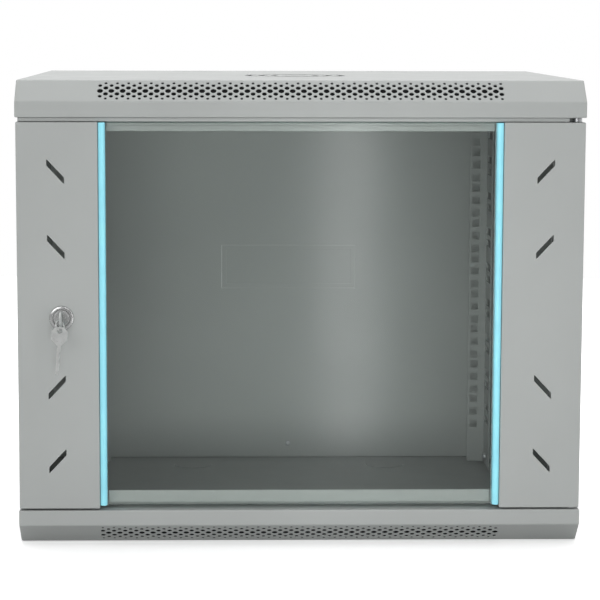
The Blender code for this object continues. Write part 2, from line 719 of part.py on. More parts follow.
def glazing():
    """Tempered pane on the ledges and bars, its upright edges covered by half-round strips."""
    half = STILE_IN - 2 * GAP
    box("door_glass", (-half, LEDGE_Y - GAP - GLASS_T, DOOR_LOW + 1 * MM),
        (half, LEDGE_Y - GAP, DOOR_HIGH - 1 * MM), GLASS)
    left, right = -STILE_IN + GAP, -STRIP_IN
    r = (right - left) / 2
    nose = FRONT - STRIP_PROUD + r
    back = LEDGE_Y - 2 * GAP - GLASS_T
    turns = [math.pi * (1 + i / 8) for i in range(9)]
    outline = [(left + r + r * math.cos(a), nose + r * math.sin(a)) for a in turns]
    outline += [(right, back), (left, back)]
    low, high = DOOR_LOW + 3.3 * MM, DOOR_HIGH - 0.4 * MM
    place = Matrix.Translation((0, 0, (low + high) / 2))
    strip = add("blue_strip_left", prism_mesh("blue_strip_left", [outline], high - low, place), BLUE)
    reflected(strip, "blue_strip_right", 0)


def hinge():
    """Fixed pin below, sprung pin above that drops to free the door, and a washer in each gap."""
    under = Matrix.Translation((HINGE_X, HINGE_Y, COVER_H))
    head = -SHEET - GAP
    fixed = [(0, 14 * MM), (PIN_R, 14 * MM), (PIN_R, head), (5 * MM, head), (5 * MM, -5 * MM), (0, -5 * MM)]
    turned("hinge_pin_bottom", fixed, under, ZINC, 12)
    for name, low, high in (("hinge_washer_bottom", COVER_H + GAP, DOOR_LOW - GAP),
                            ("hinge_washer_top", DOOR_HIGH + GAP, HEIGHT - COVER_H - GAP)):
        ring = [(PIN_R + GAP, high), (4.5 * MM, high), (4.5 * MM, low), (PIN_R + GAP, low)]
        turned(name, ring, Matrix.Translation((HINGE_X, HINGE_Y, 0)), ZINC, 12)
    above = Matrix.Translation((HINGE_X, HINGE_Y, DOOR_HIGH))
    sprung = [(0, 12 * MM), (PIN_R, 12 * MM), (PIN_R, head), (4.5 * MM, head), (4.5 * MM, -4 * MM),
              (PIN_R, -4 * MM), (PIN_R, -29 * MM), (4.5 * MM, -29 * MM), (4.5 * MM, -36 * MM), (0, -36 * MM)]
    turned("hinge_pin_top", sprung, above, ZINC, 12)
    wall = FRONT + SHEET + GAP
    x0, x1, z = HINGE_X - 7 * MM, HINGE_X + 5.5 * MM, HINGE_BRACKET_Z
    bracket = box("hinge_bracket", (x0, wall, z - SHEET), (x1, HINGE_Y + 7 * MM, z), ZINC)
    foot = box_mesh("hinge_foot", (x0, wall, z - 12 * MM), (x1, wall + SHEET, z - SHEET / 2))
    join_mesh(bracket, foot)
    at = Matrix.Translation((HINGE_X, HINGE_Y, z))
    cut_prisms(bracket, [circle(PIN_R + GAP, 10)], 10 * MM, at)
    coil("hinge_spring", z + 0.8 * MM, DOOR_HIGH - 4.8 * MM)


def coil(name, low, high, turns=5, wire=0.45 * MM, radius=3.5 * MM, per_turn=8):
    """Compression spring round the sprung pin."""
    curve = bpy.data.curves.new(name, "CURVE")
    curve.dimensions = "3D"
    curve.bevel_depth = wire
    curve.bevel_resolution = 0
    curve.use_fill_caps = True
    spline = curve.splines.new("POLY")
    count = turns * per_turn + 1
    spline.points.add(count - 1)
    for i in range(count):
        a = 2 * math.pi * i / per_turn
        z = low + (high - low) * i / (count - 1)
        spline.points[i].co = (HINGE_X + radius * math.cos(a), HINGE_Y + radius * math.sin(a), z, 1)
    curve.materials.append(ZINC)
    PARTS.objects.link(bpy.data.objects.new(name, curve))


# ---------------------------------------------------------------- roof fan and earth stud


def fan():
    """Square axial fan under the roof's ring slots: frame with hub plate and struts, and a bladed rotor."""
    high = HEIGHT - SHEET - GAP
    low = high - FAN_DEEP
    half = FAN_SIZE / 2
    frame = box("fan_frame", (-half, FAN_Y - half, low), (half, FAN_Y + half, high), DARK)
    centre = Matrix.Translation((0, FAN_Y, (low + high) / 2))
    cut_prisms(frame, [circle(FAN_BORE_R, 28)], FAN_DEEP + 10 * MM, centre)
    plate = 3 * MM
    at = Matrix.Translation((0, FAN_Y, low + plate / 2))
    join_mesh(frame, prism_mesh("fan_plate", [circle(FAN_HUB_R + 1 * MM, 16)], plate, at))
    for i in range(3):
        end = FAN_BORE_R + 1.1 * MM
        arm = box_mesh(f"fan_arm_{i}", (15 * MM, -2 * MM, 0.2 * MM), (end, 2 * MM, 2.8 * MM))
        turn = Matrix.Rotation(math.radians(45 + 120 * i), 4, "Z")
        arm.transform(Matrix.Translation((0, FAN_Y, low)) @ turn)
        join_mesh(frame, arm)
    rotor_h = 18 * MM
    middle = Matrix.Translation((0, FAN_Y, low + plate + 1 * MM + rotor_h / 2))
    hub = add("fan_rotor", prism_mesh("fan_rotor", [circle(FAN_HUB_R, 21)], rotor_h, middle), DARK)
    pitch = Matrix.Rotation(math.radians(35), 4, "X")
    for i in range(FAN_BLADES):
        blade = box_mesh(f"fan_blade_{i}", (17 * MM, -11 * MM, -0.8 * MM), (55 * MM, 11 * MM, 0.8 * MM))
        turn = Matrix.Rotation(2 * math.pi * i / FAN_BLADES, 4, "Z")
        blade.transform(middle @ turn @ pitch)
        join_mesh(hub, blade)


def earth_stud():
    profile = [(0, 16 * MM), (2.5 * MM, 16 * MM), (3 * MM, 15.5 * MM), (3 * MM, 3 * MM), (7 * MM, 3 * MM),
               (7 * MM, 0), (0, 0)]
    turned("earth_stud", profile, Matrix.Translation((*EARTH_AT, SHEET + GAP)), ZINC, 8)


covers()
knockouts()
rear_panel()
front_frame()
depth_brackets()
rails()
side_panels()
side_locks()
door_frame()
glazing()
hinge()
door_lock()
keys()
fan()
earth_stud()
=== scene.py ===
"""Looks of the wall-mount network rack cabinet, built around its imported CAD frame.

Metres, +Z up, the front faces -Y, the origin is the centre of the underside. The covers and door stiles are
made again here with rounded folds and every hole, the other sheets keep the CAD's shape with eased edges, and
the hardware gets its fine shape. Each piece then takes its CAD node's place and moves with the same body.
"""

import json
import math

import bmesh
import bpy
from mathutils import Matrix, Vector


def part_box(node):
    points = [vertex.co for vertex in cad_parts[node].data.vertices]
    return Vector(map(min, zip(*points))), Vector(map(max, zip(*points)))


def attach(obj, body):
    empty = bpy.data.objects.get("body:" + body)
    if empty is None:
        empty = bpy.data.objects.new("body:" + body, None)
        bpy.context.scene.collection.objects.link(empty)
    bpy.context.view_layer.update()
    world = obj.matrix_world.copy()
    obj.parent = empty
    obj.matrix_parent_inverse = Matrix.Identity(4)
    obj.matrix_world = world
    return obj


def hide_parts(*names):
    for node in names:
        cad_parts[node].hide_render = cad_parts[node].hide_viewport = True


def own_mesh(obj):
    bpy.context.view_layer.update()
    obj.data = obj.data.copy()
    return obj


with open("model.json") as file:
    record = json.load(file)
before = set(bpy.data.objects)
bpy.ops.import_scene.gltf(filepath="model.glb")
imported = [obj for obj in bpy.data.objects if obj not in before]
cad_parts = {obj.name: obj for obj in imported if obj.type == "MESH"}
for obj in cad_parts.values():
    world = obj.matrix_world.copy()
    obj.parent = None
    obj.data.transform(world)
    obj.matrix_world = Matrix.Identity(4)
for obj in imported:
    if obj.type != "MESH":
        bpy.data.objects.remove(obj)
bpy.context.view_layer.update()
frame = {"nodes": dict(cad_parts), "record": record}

MM = 0.001
SHEET = 1.5 * MM
GAP = 0.3 * MM

BODY_OF = {node: body for body, nodes in frame["record"]["behaviour"]["bodies"].items() for node in nodes}

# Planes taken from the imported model
COVER_LOW, COVER_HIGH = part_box("top_cover")
SIDE = COVER_HIGH.x
FRONT, REAR = COVER_LOW.y, COVER_HIGH.y
HEIGHT = COVER_HIGH.z
COVER_H = HEIGHT - COVER_LOW.z
STILE_LOW, STILE_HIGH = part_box("door_stile_right")
DOOR_LOW, DOOR_HIGH = STILE_LOW.z, STILE_HIGH.z
DOOR_MID = (DOOR_LOW + DOOR_HIGH) / 2
MID_Z = HEIGHT / 2


# ---------------------------------------------------------------- mesh helpers


def to_mesh(name, bm):
    mesh = bpy.data.meshes.new(name)
    bm.to_mesh(mesh)
    bm.free()
    return mesh


def add(name, mesh):
    obj = bpy.data.objects.new(name, mesh)
    bpy.context.scene.collection.objects.link(obj)
    return obj


def settle(obj):
    """Applies an object's modifiers and its placing, so that its mesh is final and lies in the frame."""
    bpy.context.view_layer.update()
    seen = obj.evaluated_get(bpy.context.evaluated_depsgraph_get())
    mesh = bpy.data.meshes.new_from_object(seen)
    mesh.transform(obj.matrix_world)
    obj.modifiers.clear()
    obj.matrix_world = Matrix.Identity(4)
    obj.data = mesh
    return obj


def modify(obj, kind, **values):
    mod = obj.modifiers.new(kind.lower(), kind)
    for key, value in values.items():
        setattr(mod, key, value)
    return mod


def solidify(obj, thickness=SHEET):
    modify(obj, "SOLIDIFY", thickness=thickness, offset=-1.0, use_even_offset=True, use_quality_normals=True)


def soften(obj, width=0.4 * MM, segments=2, angle=30, clamp=True):
    modify(obj, "BEVEL", width=width, segments=segments, limit_method="ANGLE",
           angle_limit=math.radians(angle), use_clamp_overlap=clamp)


def combine(obj, mesh, operation):
    """One Boolean with a mesh, applied at once."""
    tool = add("tool", mesh)
    mod = modify(obj, "BOOLEAN", operation=operation, solver="EXACT")
    mod.object = tool
    settle(obj)
    bpy.data.objects.remove(tool)


def cut(obj, mesh):
    combine(obj, mesh, "DIFFERENCE")


def join(obj, mesh):
    combine(obj, mesh, "UNION")


def shade(obj, angle=35):
    """Smooth shading with crisp folds, and normals weighted so that flat sheet stays flat."""
    settle(obj)
    obj.data.shade_smooth()
    obj.data.set_sharp_from_angle(angle=math.radians(angle))
    modify(obj, "WEIGHTED_NORMAL", weight=50, keep_sharp=True)
    return obj


def prism(outlines, depth, place=None):
    """Flat outlines in the local XY plane, pushed out by half the depth each way, then placed by a matrix."""
    bm = bmesh.new()
    for outline in outlines:
        face = bm.faces.new([bm.verts.new((x, y, -depth / 2)) for x, y in outline])
        grown = bmesh.ops.extrude_face_region(bm, geom=[face])["geom"]
        verts = [part for part in grown if isinstance(part, bmesh.types.BMVert)]
        bmesh.ops.translate(bm, verts=verts, vec=(0, 0, depth))
    bmesh.ops.recalc_face_normals(bm, faces=bm.faces)
    if place:
        bmesh.ops.transform(bm, matrix=place, verts=bm.verts)
    return to_mesh("prism", bm)


def block(low, high):
    bm = bmesh.new()
    bmesh.ops.create_cube(bm, size=1.0)
    size, middle = Vector(high) - Vector(low), (Vector(high) + Vector(low)) / 2
    bmesh.ops.transform(bm, matrix=Matrix.Translation(middle) @ Matrix.Diagonal((*size, 1.0)), verts=bm.verts)
    return to_mesh("block", bm)


def turned(name, profile, place, steps=48):
    """A body of revolution about local Z; a profile of (radius, height) clear of the axis makes a ring."""
    bm = bmesh.new()
    ring = [bm.verts.new((r, 0, z)) for r, z in profile]
    closed = min(r for r, _ in profile) > 0
    for i in range(len(ring) if closed else len(ring) - 1):
        bm.edges.new((ring[i], ring[(i + 1) % len(ring)]))
    obj = add(name, to_mesh(name, bm))
    obj.matrix_world = place
    modify(obj, "SCREW", steps=steps, render_steps=steps, use_merge_vertices=True, merge_threshold=0.00001)
    return settle(obj)


def rounded(points, radius, steps=5):
    """A closed outline with each corner rounded; radius may be one number or one for each point."""
    made = []
    count = len(points)
    for i, point in enumerate(points):
        p, before, after = Vector(point), Vector(points[i - 1]), Vector(points[(i + 1) % count])
        r = radius[i] if isinstance(radius, (list, tuple)) else radius
        a, b = (before - p).normalized(), (after - p).normalized()
        half = a.angle(b) / 2
        if r <= 0 or half > math.radians(89):
            made.append(tuple(p))
            continue
        reach = min(r / math.tan(half), (before - p).length * 0.49, (after - p).length * 0.49)
        r = reach * math.tan(half)
        centre = p + (a + b).normalized() * (r / math.sin(half))
        start, end = p + a * reach - centre, p + b * reach - centre
        for k in range(steps + 1):
            made.append(tuple(centre + start.lerp(end, k / steps).normalized() * r))
    return made


def circle(radius, count=32, x=0.0, y=0.0):
    turns = (2 * math.pi * i / count for i in range(count))
    return [(x + radius * math.cos(a), y + radius * math.sin(a)) for a in turns]


def axes(x, y, z, at=(0, 0, 0)):
    return Matrix.Translation(at) @ Matrix((x, y, z)).transposed().to_4x4()


ALONG_X = axes((0, 1, 0), (0, 0, 1), (1, 0, 0))  # outline in YZ
FACING = axes((1, 0, 0), (0, 0, 1), (0, -1, 0))  # outline in XZ, drawn towards the front


def sheet_skin(bm, outline, low, high, place, ends=()):
    """The outer skin of a folded sheet: an open outline drawn from low to high along local Z."""
    rows = [[bm.verts.new((x, y, z)) for x, y in outline] for z in (low, high)]
    for i in range(len(outline) - 1):
        bm.faces.new((rows[0][i], rows[0][i + 1], rows[1][i + 1], rows[1][i]))
    if ends:
        bm.faces.new([rows[0][i] for i in reversed(ends)])
        bm.faces.new([rows[1][i] for i in ends])
    bmesh.ops.transform(bm, matrix=place, verts=bm.verts)


def round_folds(bm, radius, segments=4, least=8):
    """Rounds every fold of a skin, leaving its open edges."""
    folds = [e for e in bm.edges if len(e.link_faces) == 2 and e.calc_face_angle(0) > math.radians(least)]
    bmesh.ops.bevel(bm, geom=folds, offset=radius, segments=segments, profile=0.5, affect="EDGES",
                    clamp_overlap=True)


def folded(name, outline, low, high, place=Matrix.Identity(4), ends=(), radius=1.2 * MM, thickness=SHEET):
    bm = bmesh.new()
    sheet_skin(bm, outline, low, high, place, ends)
    round_folds(bm, radius)
    obj = add(name, to_mesh(name, bm))
    solidify(obj, thickness)
    return settle(obj)


def mirrored(obj, name):
    """The opposite-hand copy, mirrored in X."""
    mesh = obj.data.copy()
    mesh.transform(Matrix.Diagonal((-1.0, 1.0, 1.0, 1.0)))
    mesh.flip_normals()
    return add(name, mesh)


# ---------------------------------------------------------------- materials


class Graph:
    """Short calls for building one node material."""

    def __init__(self, name):
        self.material = bpy.data.materials.new(name)
        self.material.use_nodes = True
        self.tree = self.material.node_tree
        self.shader = self.tree.nodes["Principled BSDF"]
        self.place = self.tree.nodes.new("ShaderNodeTexCoord").outputs["Object"]

    def node(self, kind, **inputs):
        made = self.tree.nodes.new(kind)
        for key, value in inputs.items():
            self.feed(made, key.replace("_", " "), value)
        return made

    def feed(self, node, socket, value):
        if isinstance(value, bpy.types.NodeSocket):
            self.tree.links.new(value, node.inputs[socket])
        else:
            node.inputs[socket].default_value = value

    def stretched(self, scale):
        return self.node("ShaderNodeMapping", Vector=self.place, Scale=scale).outputs["Vector"]

    def noise(self, scale, detail=2.0, roughness=0.5, vector=None):
        made = self.node("ShaderNodeTexNoise", Vector=vector or self.place, Scale=scale, Detail=detail,
                         Roughness=roughness)
        return made.outputs["Fac"]

    def spread(self, value, low, high, start=0.3, end=0.7):
        made = self.node("ShaderNodeMapRange", Value=value)
        for socket, number in (("From Min", start), ("From Max", end), ("To Min", low), ("To Max", high)):
            made.inputs[socket].default_value = number
        return made.outputs["Result"]

    def tints(self, value, *colours):
        ramp = self.node("ShaderNodeValToRGB", Fac=value).color_ramp
        ramp_node = self.tree.nodes[-1]
        for i, colour in enumerate(colours):
            at = 0.3 + 0.4 * i / max(1, len(colours) - 1)
            stop = ramp.elements[i] if i < 2 else ramp.elements.new(at)
            stop.position = at
            stop.color = (*colour, 1.0)
        return ramp_node.outputs["Color"]

    def bump(self, height, distance, strength=1.0, under=None):
        made = self.node("ShaderNodeBump", Height=height, Distance=distance, Strength=strength)
        if under:
            self.feed(made, "Normal", under)
        return made.outputs["Normal"]

    def set(self, **values):
        for key, value in values.items():
            self.feed(self.shader, key.replace("_", " "), value)
        return self.material


def powder_coat(name, base, rough=(0.36, 0.46)):
    """Satin powder coat: orange peel, finer grain, and faint handling marks in the gloss."""
    g = Graph(name)
    dark, light = ([c * k for c in base] for k in (0.972, 1.028))
    colour = g.tints(g.noise(7.0, 3.0), dark, base, light)
    peel = g.bump(g.noise(900.0, 2.0), 0.00004, 0.5)
    grain = g.bump(g.noise(3800.0, 1.0), 0.000012, 0.5, peel)
    marks = g.spread(g.noise(24.0, 5.0, 0.6), *rough)
    return g.set(Base_Color=colour, Roughness=marks, Normal=grain)


def metal(name, base, rough, grain_scale, streak=(1, 1, 1), depth=0.00001):
    """Plated steel: uneven gloss and a fine grain that streak can draw out along one direction."""
    g = Graph(name)
    vector = g.stretched(streak)
    colour = g.tints(g.noise(160.0, 3.0), [c * 0.9 for c in base], base, [min(1.0, c * 1.06) for c in base])
    surface = g.spread(g.noise(grain_scale, 4.0, 0.6, vector), *rough)
    normal = g.bump(g.noise(grain_scale, 3.0, 0.6, vector), depth, 0.5)
    return g.set(Base_Color=colour, Roughness=surface, Normal=normal, Metallic=1.0)


def plastic(name, base, rough, grain_scale, depth, coat=0.0):
    g = Graph(name)
    colour = g.tints(g.noise(40.0, 2.0), [c * 0.95 for c in base], base, [min(1.0, c * 1.04) for c in base])
    surface = g.spread(g.noise(60.0, 4.0), *rough)
    normal = g.bump(g.noise(grain_scale, 2.0), depth, 0.5)
    return g.set(Base_Color=colour, Roughness=surface, Normal=normal, Coat_Weight=coat)


def shade_sheet_material(name, dark, light):
    """Painted shade for the vents: a near-black matt sheet with a fibre-like grain and next to no gloss."""
    g = Graph(name)
    shade_grain = g.noise(1500.0, 5.0, 0.7)
    return g.set(Base_Color=g.tints(shade_grain, dark, light), Roughness=g.spread(shade_grain, 0.88, 1.0),
                 Specular_IOR_Level=0.1, Normal=g.bump(shade_grain, 0.0002, 0.8))


GLASS_IOR = 1.33  # under real glass, so that the pane dims what is behind it only a little


def clear_glass(name, tint):
    """Thin-walled look of a pane: light passes straight through, tinted, with a mirror share on top."""
    g = Graph(name)
    smears = g.spread(g.noise(9.0, 5.0, 0.65), 0.19, 0.25)
    through = g.node("ShaderNodeBsdfTransparent", Color=(*tint, 1.0))
    mirror = g.node("ShaderNodeBsdfAnisotropic", Color=(1.0, 1.0, 1.0, 1.0), Roughness=smears)
    share = g.node("ShaderNodeFresnel", IOR=GLASS_IOR)
    mixed = g.node("ShaderNodeMixShader", Fac=share.outputs["Fac"])
    g.tree.links.new(through.outputs["BSDF"], mixed.inputs[1])
    g.tree.links.new(mirror.outputs["BSDF"], mixed.inputs[2])
    g.tree.links.new(mixed.outputs["Shader"], g.tree.nodes["Material Output"].inputs["Surface"])
    g.tree.nodes.remove(g.shader)
    return g.material


PAINT_BASE = (0.395, 0.412, 0.404)
FINISHES = {
    "paint": powder_coat("grey_powder_coat", PAINT_BASE),
    "zinc": metal("zinc_plate", (0.62, 0.63, 0.645), (0.26, 0.42), 420.0),
    "key_steel": metal("nickel_key_steel", (0.76, 0.775, 0.765), (0.26, 0.40), 700.0, (1, 1, 0.12)),
    "chrome": metal("polished_chrome", (0.60, 0.606, 0.604), (0.20, 0.30), 300.0, depth=0.000002),
    "glass": clear_glass("tempered_glass", (0.979, 0.998, 0.989)),
    "blue_strip": plastic("light_blue_plastic", (0.335, 0.85, 1.0), (0.16, 0.26), 1500.0, 0.000006, coat=0.4),
    "fan_plastic": plastic("black_moulded_plastic", (0.022, 0.022, 0.024), (0.42, 0.58), 2200.0, 0.00002),
}
GLASS_EDGE = clear_glass("glass_cut_edge", (0.35, 0.55, 0.50))
# near-black sheet material that paints shade into the view through the vents
VENT_SHADE = shade_sheet_material("black_vent_shade", (0.006, 0.006, 0.006), (0.016, 0.016, 0.017))


# ---------------------------------------------------------------- taking over CAD nodes


def fit_piece(obj, body, slot):
    """A finished piece gets its finish and moves with a body."""
    obj.data.materials.clear()
    obj.data.materials.append(FINISHES[slot])
    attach(obj, body)
    return obj


def stand_for(obj, node, slot):
    """A finished piece takes a CAD node's place, finish and body."""
    fit_piece(obj, BODY_OF[node], slot)
    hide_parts(node)
    return obj


def refined(node, slot, width=0.35 * MM, joined=(), removed=()):
    """A CAD node's own shape with whole flat faces and rounded edges, and with meshes joined or cut out."""
    bm = bmesh.new()
    bm.from_mesh(frame["nodes"][node].data)
    bmesh.ops.remove_doubles(bm, verts=bm.verts, dist=0.00001)
    bmesh.ops.dissolve_limit(bm, angle_limit=math.radians(1), verts=bm.verts, edges=bm.edges)
    obj = add(f"{node}_fine", to_mesh(node, bm))
    for mesh in joined:
        join(obj, mesh)
    for mesh in removed:
        cut(obj, mesh)
    soften(obj, width)
    return stand_for(shade(obj), node, slot)


# ---------------------------------------------------------------- covers

BEVEL_H, BEVEL_D, LIP, STIFFENER_H = 22.2 * MM, 23.0 * MM, 34 * MM, 32 * MM
COVER_T = 1.0 * MM
VENT_COUNT, VENT_PITCH = 36, 11.89 * MM
VENT_ROWS = ((0.0, 6.3), (4.3, 5.3), (7.8, 4.3), (11.1, 3.3))  # distance from the middle row and diameter, mm
FAN_LOW, FAN_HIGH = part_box("fan_frame")
FAN_Y = (FAN_LOW.y + FAN_HIGH.y) / 2
FAN_RINGS, FAN_SLOT, FAN_BRIDGE = (25 * MM, 39.5 * MM, 54 * MM), 7 * MM, 5 * MM
ENTRY_LOW, ENTRY_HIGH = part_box("roof_knockout_right")
ENTRY_X, ENTRY_Y = (ENTRY_LOW.x + ENTRY_HIGH.x) / 2, (ENTRY_LOW.y + ENTRY_HIGH.y) / 2
ENTRY_GAP = 0.6 * MM
ENTRY_R = (ENTRY_HIGH.x - ENTRY_LOW.x) / 2 + ENTRY_GAP
PIN_LOW, PIN_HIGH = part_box("hinge_pin_top")
HINGE_X, HINGE_Y = (PIN_LOW.x + PIN_HIGH.x) / 2, (PIN_LOW.y + PIN_HIGH.y) / 2
PIN_R = 2.5 * MM
# painted-shade sheet behind the vents: half its height on the slope, its reach past the last holes, its
# thickness
SHADE_SHEET_RISE, SHADE_SHEET_PAST, SHADE_SHEET_T = 13.2 * MM, 5 * MM, 1.6 * MM
UPSIDE_DOWN = Matrix.Translation((0, 0, HEIGHT)) @ Matrix.Rotation(math.pi, 4, "Y")


def on_slope(depth=0.0):
    """The roof's slope: local X runs across the cabinet, Y up the slope, Z outwards."""
    slope = Vector((0, BEVEL_D, BEVEL_H)).normalized()
    out = Vector((1, 0, 0)).cross(slope)
    middle = Vector((0, FRONT + BEVEL_D / 2, HEIGHT - BEVEL_H / 2))
    return axes((1, 0, 0), slope, out, middle - depth * out)


def vent_cutter():
    """Seven staggered rows of round holes, widest in the middle of the slope."""
    start = -VENT_PITCH * (VENT_COUNT - 0.5) / 2
    holes = []
    for row, (rise, diameter) in enumerate(VENT_ROWS):
        for way in (1, -1) if row else (1,):
            for i in range(VENT_COUNT):
                x = start + (i + (row % 2) / 2) * VENT_PITCH
                holes.append(circle(diameter / 2 * MM, 16 - 2 * row, x, way * rise * MM))
    return prism(holes, 4 * SHEET, on_slope())


def vent_shade_sheets():
    """A near-black sheet behind each slope's vents, painted shade that makes the holes look dark."""
    half = VENT_PITCH * VENT_COUNT / 2 + SHADE_SHEET_PAST
    strip = [(-half, -SHADE_SHEET_RISE), (half, -SHADE_SHEET_RISE), (half, SHADE_SHEET_RISE), (-half, SHADE_SHEET_RISE)]
    upper = prism([strip], SHADE_SHEET_T, on_slope(COVER_T + GAP + SHADE_SHEET_T / 2))
    lower = upper.copy()
    lower.transform(UPSIDE_DOWN)
    for level, mesh in (("top", upper), ("bottom", lower)):
        # each sheet takes the near-black painted-shade material
        piece = fit_piece(shade(add(f"vent_shade_sheet_{level}", mesh)), "cabinet", "fan_plastic")
        piece.data.materials[0] = VENT_SHADE


def ring_slot(radius, quarter, steps=12):
    """One quarter-ring slot of the fan vent, with round ends and a bridge on each diagonal."""
    half = math.pi / 4 - FAN_BRIDGE / radius
    middle = quarter * math.pi / 2
    turns = [middle - half + 2 * half * i / steps for i in range(steps + 1)]
    inner, outer = radius - FAN_SLOT / 2, radius + FAN_SLOT / 2
    ring = [(outer * math.cos(a), outer * math.sin(a)) for a in turns]
    ring += [(inner * math.cos(a), inner * math.sin(a)) for a in reversed(turns)]
    ends = [1.6 * MM if i in (0, steps, steps + 1, 2 * steps + 1) else 0.0 for i in range(len(ring))]
    return [(x, y + FAN_Y) for x, y in rounded(ring, ends, 3)]


def covers():
    """Two like trays, each with an upturned flange on its lip; the roof also has the fan's ring slots."""
    low = HEIGHT - COVER_H
    outline = [(REAR, low), (REAR, HEIGHT), (FRONT + BEVEL_D, HEIGHT), (FRONT, HEIGHT - BEVEL_H),
               (FRONT, low), (FRONT + LIP, low)]
    roof = folded("top_cover_fine", outline, -SIDE, SIDE, ALONG_X, range(len(outline)), 1.3 * MM, COVER_T)
    end, back = SIDE - 2 * SHEET, FRONT + LIP
    join(roof, block((-end, back - SHEET, low + SHEET / 2), (end, back, low + STIFFENER_H)))
    cut(roof, vent_cutter())
    pins = [circle(PIN_R + GAP, 20, side * HINGE_X, HINGE_Y) for side in (-1, 1)]
    cut(roof, prism(pins, 6 * SHEET, Matrix.Translation((0, 0, low))))
    entries = [circle(ENTRY_R, 64, side * ENTRY_X, ENTRY_Y) for side in (-1, 1)]
    cut(roof, prism(entries, 6 * SHEET, Matrix.Translation((0, 0, HEIGHT))))
    floor = add("bottom_cover_fine", roof.data.copy())
    floor.matrix_world = UPSIDE_DOWN
    rings = [ring_slot(radius, quarter) for radius in FAN_RINGS for quarter in range(4)]
    cut(roof, prism(rings, 6 * SHEET, Matrix.Translation((0, 0, HEIGHT))))
    for obj, node in ((roof, "top_cover"), (floor, "bottom_cover")):
        stand_for(shade(obj, 30), node, "paint")


def knockouts():
    """Round blanks pressed slightly out of the sheet, each held by two small bridges."""
    r = ENTRY_R - ENTRY_GAP
    profile = [(0, -0.2 * MM), (r - 3 * MM, -0.2 * MM), (r - 2.4 * MM, 0), (r - 0.3 * MM, 0), (r, -0.3 * MM),
               (r, -SHEET), (0, -SHEET)]
    for level, z, way in (("roof", HEIGHT, 1), ("floor", 0.0, -1)):
        for side, x in (("left", -ENTRY_X), ("right", ENTRY_X)):
            place = Matrix.Translation((x, ENTRY_Y, z)) @ Matrix.Rotation(0 if way > 0 else math.pi, 4, "X")
            disc = turned(f"{level}_knockout_{side}_fine", profile, place, 64)
            for angle in (0.4, 0.4 + math.pi):
                tab = block((r - 1 * MM, -1.2 * MM, -1.2 * MM), (ENTRY_R + 0.2 * MM, 1.2 * MM, -0.2 * MM))
                tab.transform(place @ Matrix.Rotation(angle, 4, "Z"))
                join(disc, tab)
            stand_for(shade(disc), f"{level}_knockout_{side}", "paint")


# ---------------------------------------------------------------- door

STRIP_LOW, STRIP_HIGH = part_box("blue_strip_right")
GLASS_LOW, GLASS_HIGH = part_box("door_glass")
DOOR_SIDE, STILE_IN = STILE_HIGH.x, GLASS_HIGH.x + 2 * GAP
LEDGE_Y = GLASS_HIGH.y + GAP
STILE_D, LEDGE_W = 20 * MM, 7.5 * MM
SLOT_X, SLOT_RISES = 258 * MM, (154.5 * MM, 75 * MM)
SLOT_W, SLOT_H, SLOT_END = 18.4 * MM, 26.6 * MM, 7.0 * MM
SLOT_CORNERS = [0.5 * MM, 2.0 * MM, 0.5 * MM, 2.0 * MM]
LOCK_X, LOCK_Z = -252.5 * MM, DOOR_MID - 0.5 * MM
BARREL_HOLE, BARREL_L, PLUG_L = 9.9 * MM, 28 * MM, 32 * MM


def slant(x, z, lean):
    """A slanted slot with upright ends and eased corners; it rises to the right for lean +1, falls for -1."""
    w, h = SLOT_W / 2, SLOT_H / 2
    ring = [(-w, -h), (w, h - SLOT_END), (w, h), (-w, -h + SLOT_END)]
    ring = rounded(ring, SLOT_CORNERS, 4)
    return [(x + lean * a, z + b) for a, b in ring]


def stile_blank(name):
    """The left pan: front face, both side walls, closed ends, and a ledge behind the glass."""
    outline = [(-DOOR_SIDE, FRONT + STILE_D), (-DOOR_SIDE, FRONT), (-STILE_IN, FRONT), (-STILE_IN, LEDGE_Y),
               (-STILE_IN + LEDGE_W, LEDGE_Y)]
    return folded(name, outline, DOOR_LOW, DOOR_HIGH, ends=(0, 1, 2, 3), radius=1.1 * MM)


def stiles():
    left = stile_blank("door_stile_left_fine")
    right = mirrored(left, "door_stile_right_fine")
    pin = circle(PIN_R + GAP, 24, HINGE_X, HINGE_Y)
    cut(right, prism([pin], DOOR_HIGH, Matrix.Translation((0, 0, DOOR_MID))))
    for obj, side in ((left, -1), (right, 1)):
        x, slots = side * SLOT_X, []
        for rise in SLOT_RISES:
            slots += [slant(x, DOOR_MID + rise, side), slant(x, DOOR_MID - rise, -side)]
        if side < 0:
            slots.append(circle(BARREL_HOLE, 48, LOCK_X, LOCK_Z))
        cut(obj, prism(slots, 8 * MM, Matrix.Translation((0, FRONT, 0)) @ FACING))
        stand_for(shade(obj, 30), f"door_stile_{'left' if side < 0 else 'right'}", "paint")


def glazing():
    """The pane with polished edges, and the half-round strips that cover its upright edges."""
    pane = add("door_glass_fine", block(GLASS_LOW, GLASS_HIGH))
    soften(pane, 0.6 * MM, 3)
    stand_for(shade(pane), "door_glass", "glass")
    pane.data.materials.append(GLASS_EDGE)
    for face in pane.data.polygons:
        face.material_index = 0 if abs(face.normal.y) > 0.9 else 1
    left, right = STRIP_LOW.x, STRIP_HIGH.x
    r = (right - left) / 2
    turns = [math.pi * (1 + i / 24) for i in range(25)]
    outline = [(left + r + r * math.cos(a), STRIP_LOW.y + r + r * math.sin(a)) for a in turns]
    outline += [(right, STRIP_HIGH.y), (left, STRIP_HIGH.y)]
    place = Matrix.Translation((0, 0, (STRIP_LOW.z + STRIP_HIGH.z) / 2))
    strip = add("blue_strip_right_fine", prism([outline], STRIP_HIGH.z - STRIP_LOW.z, place))
    soften(strip, 0.8 * MM, 4, 60)
    settle(strip)
    other = mirrored(strip, "blue_strip_left_fine")
    for obj, node in ((strip, "blue_strip_right"), (other, "blue_strip_left")):
        stand_for(shade(obj), node, "blue_strip")


# ---------------------------------------------------------------- locks and keys

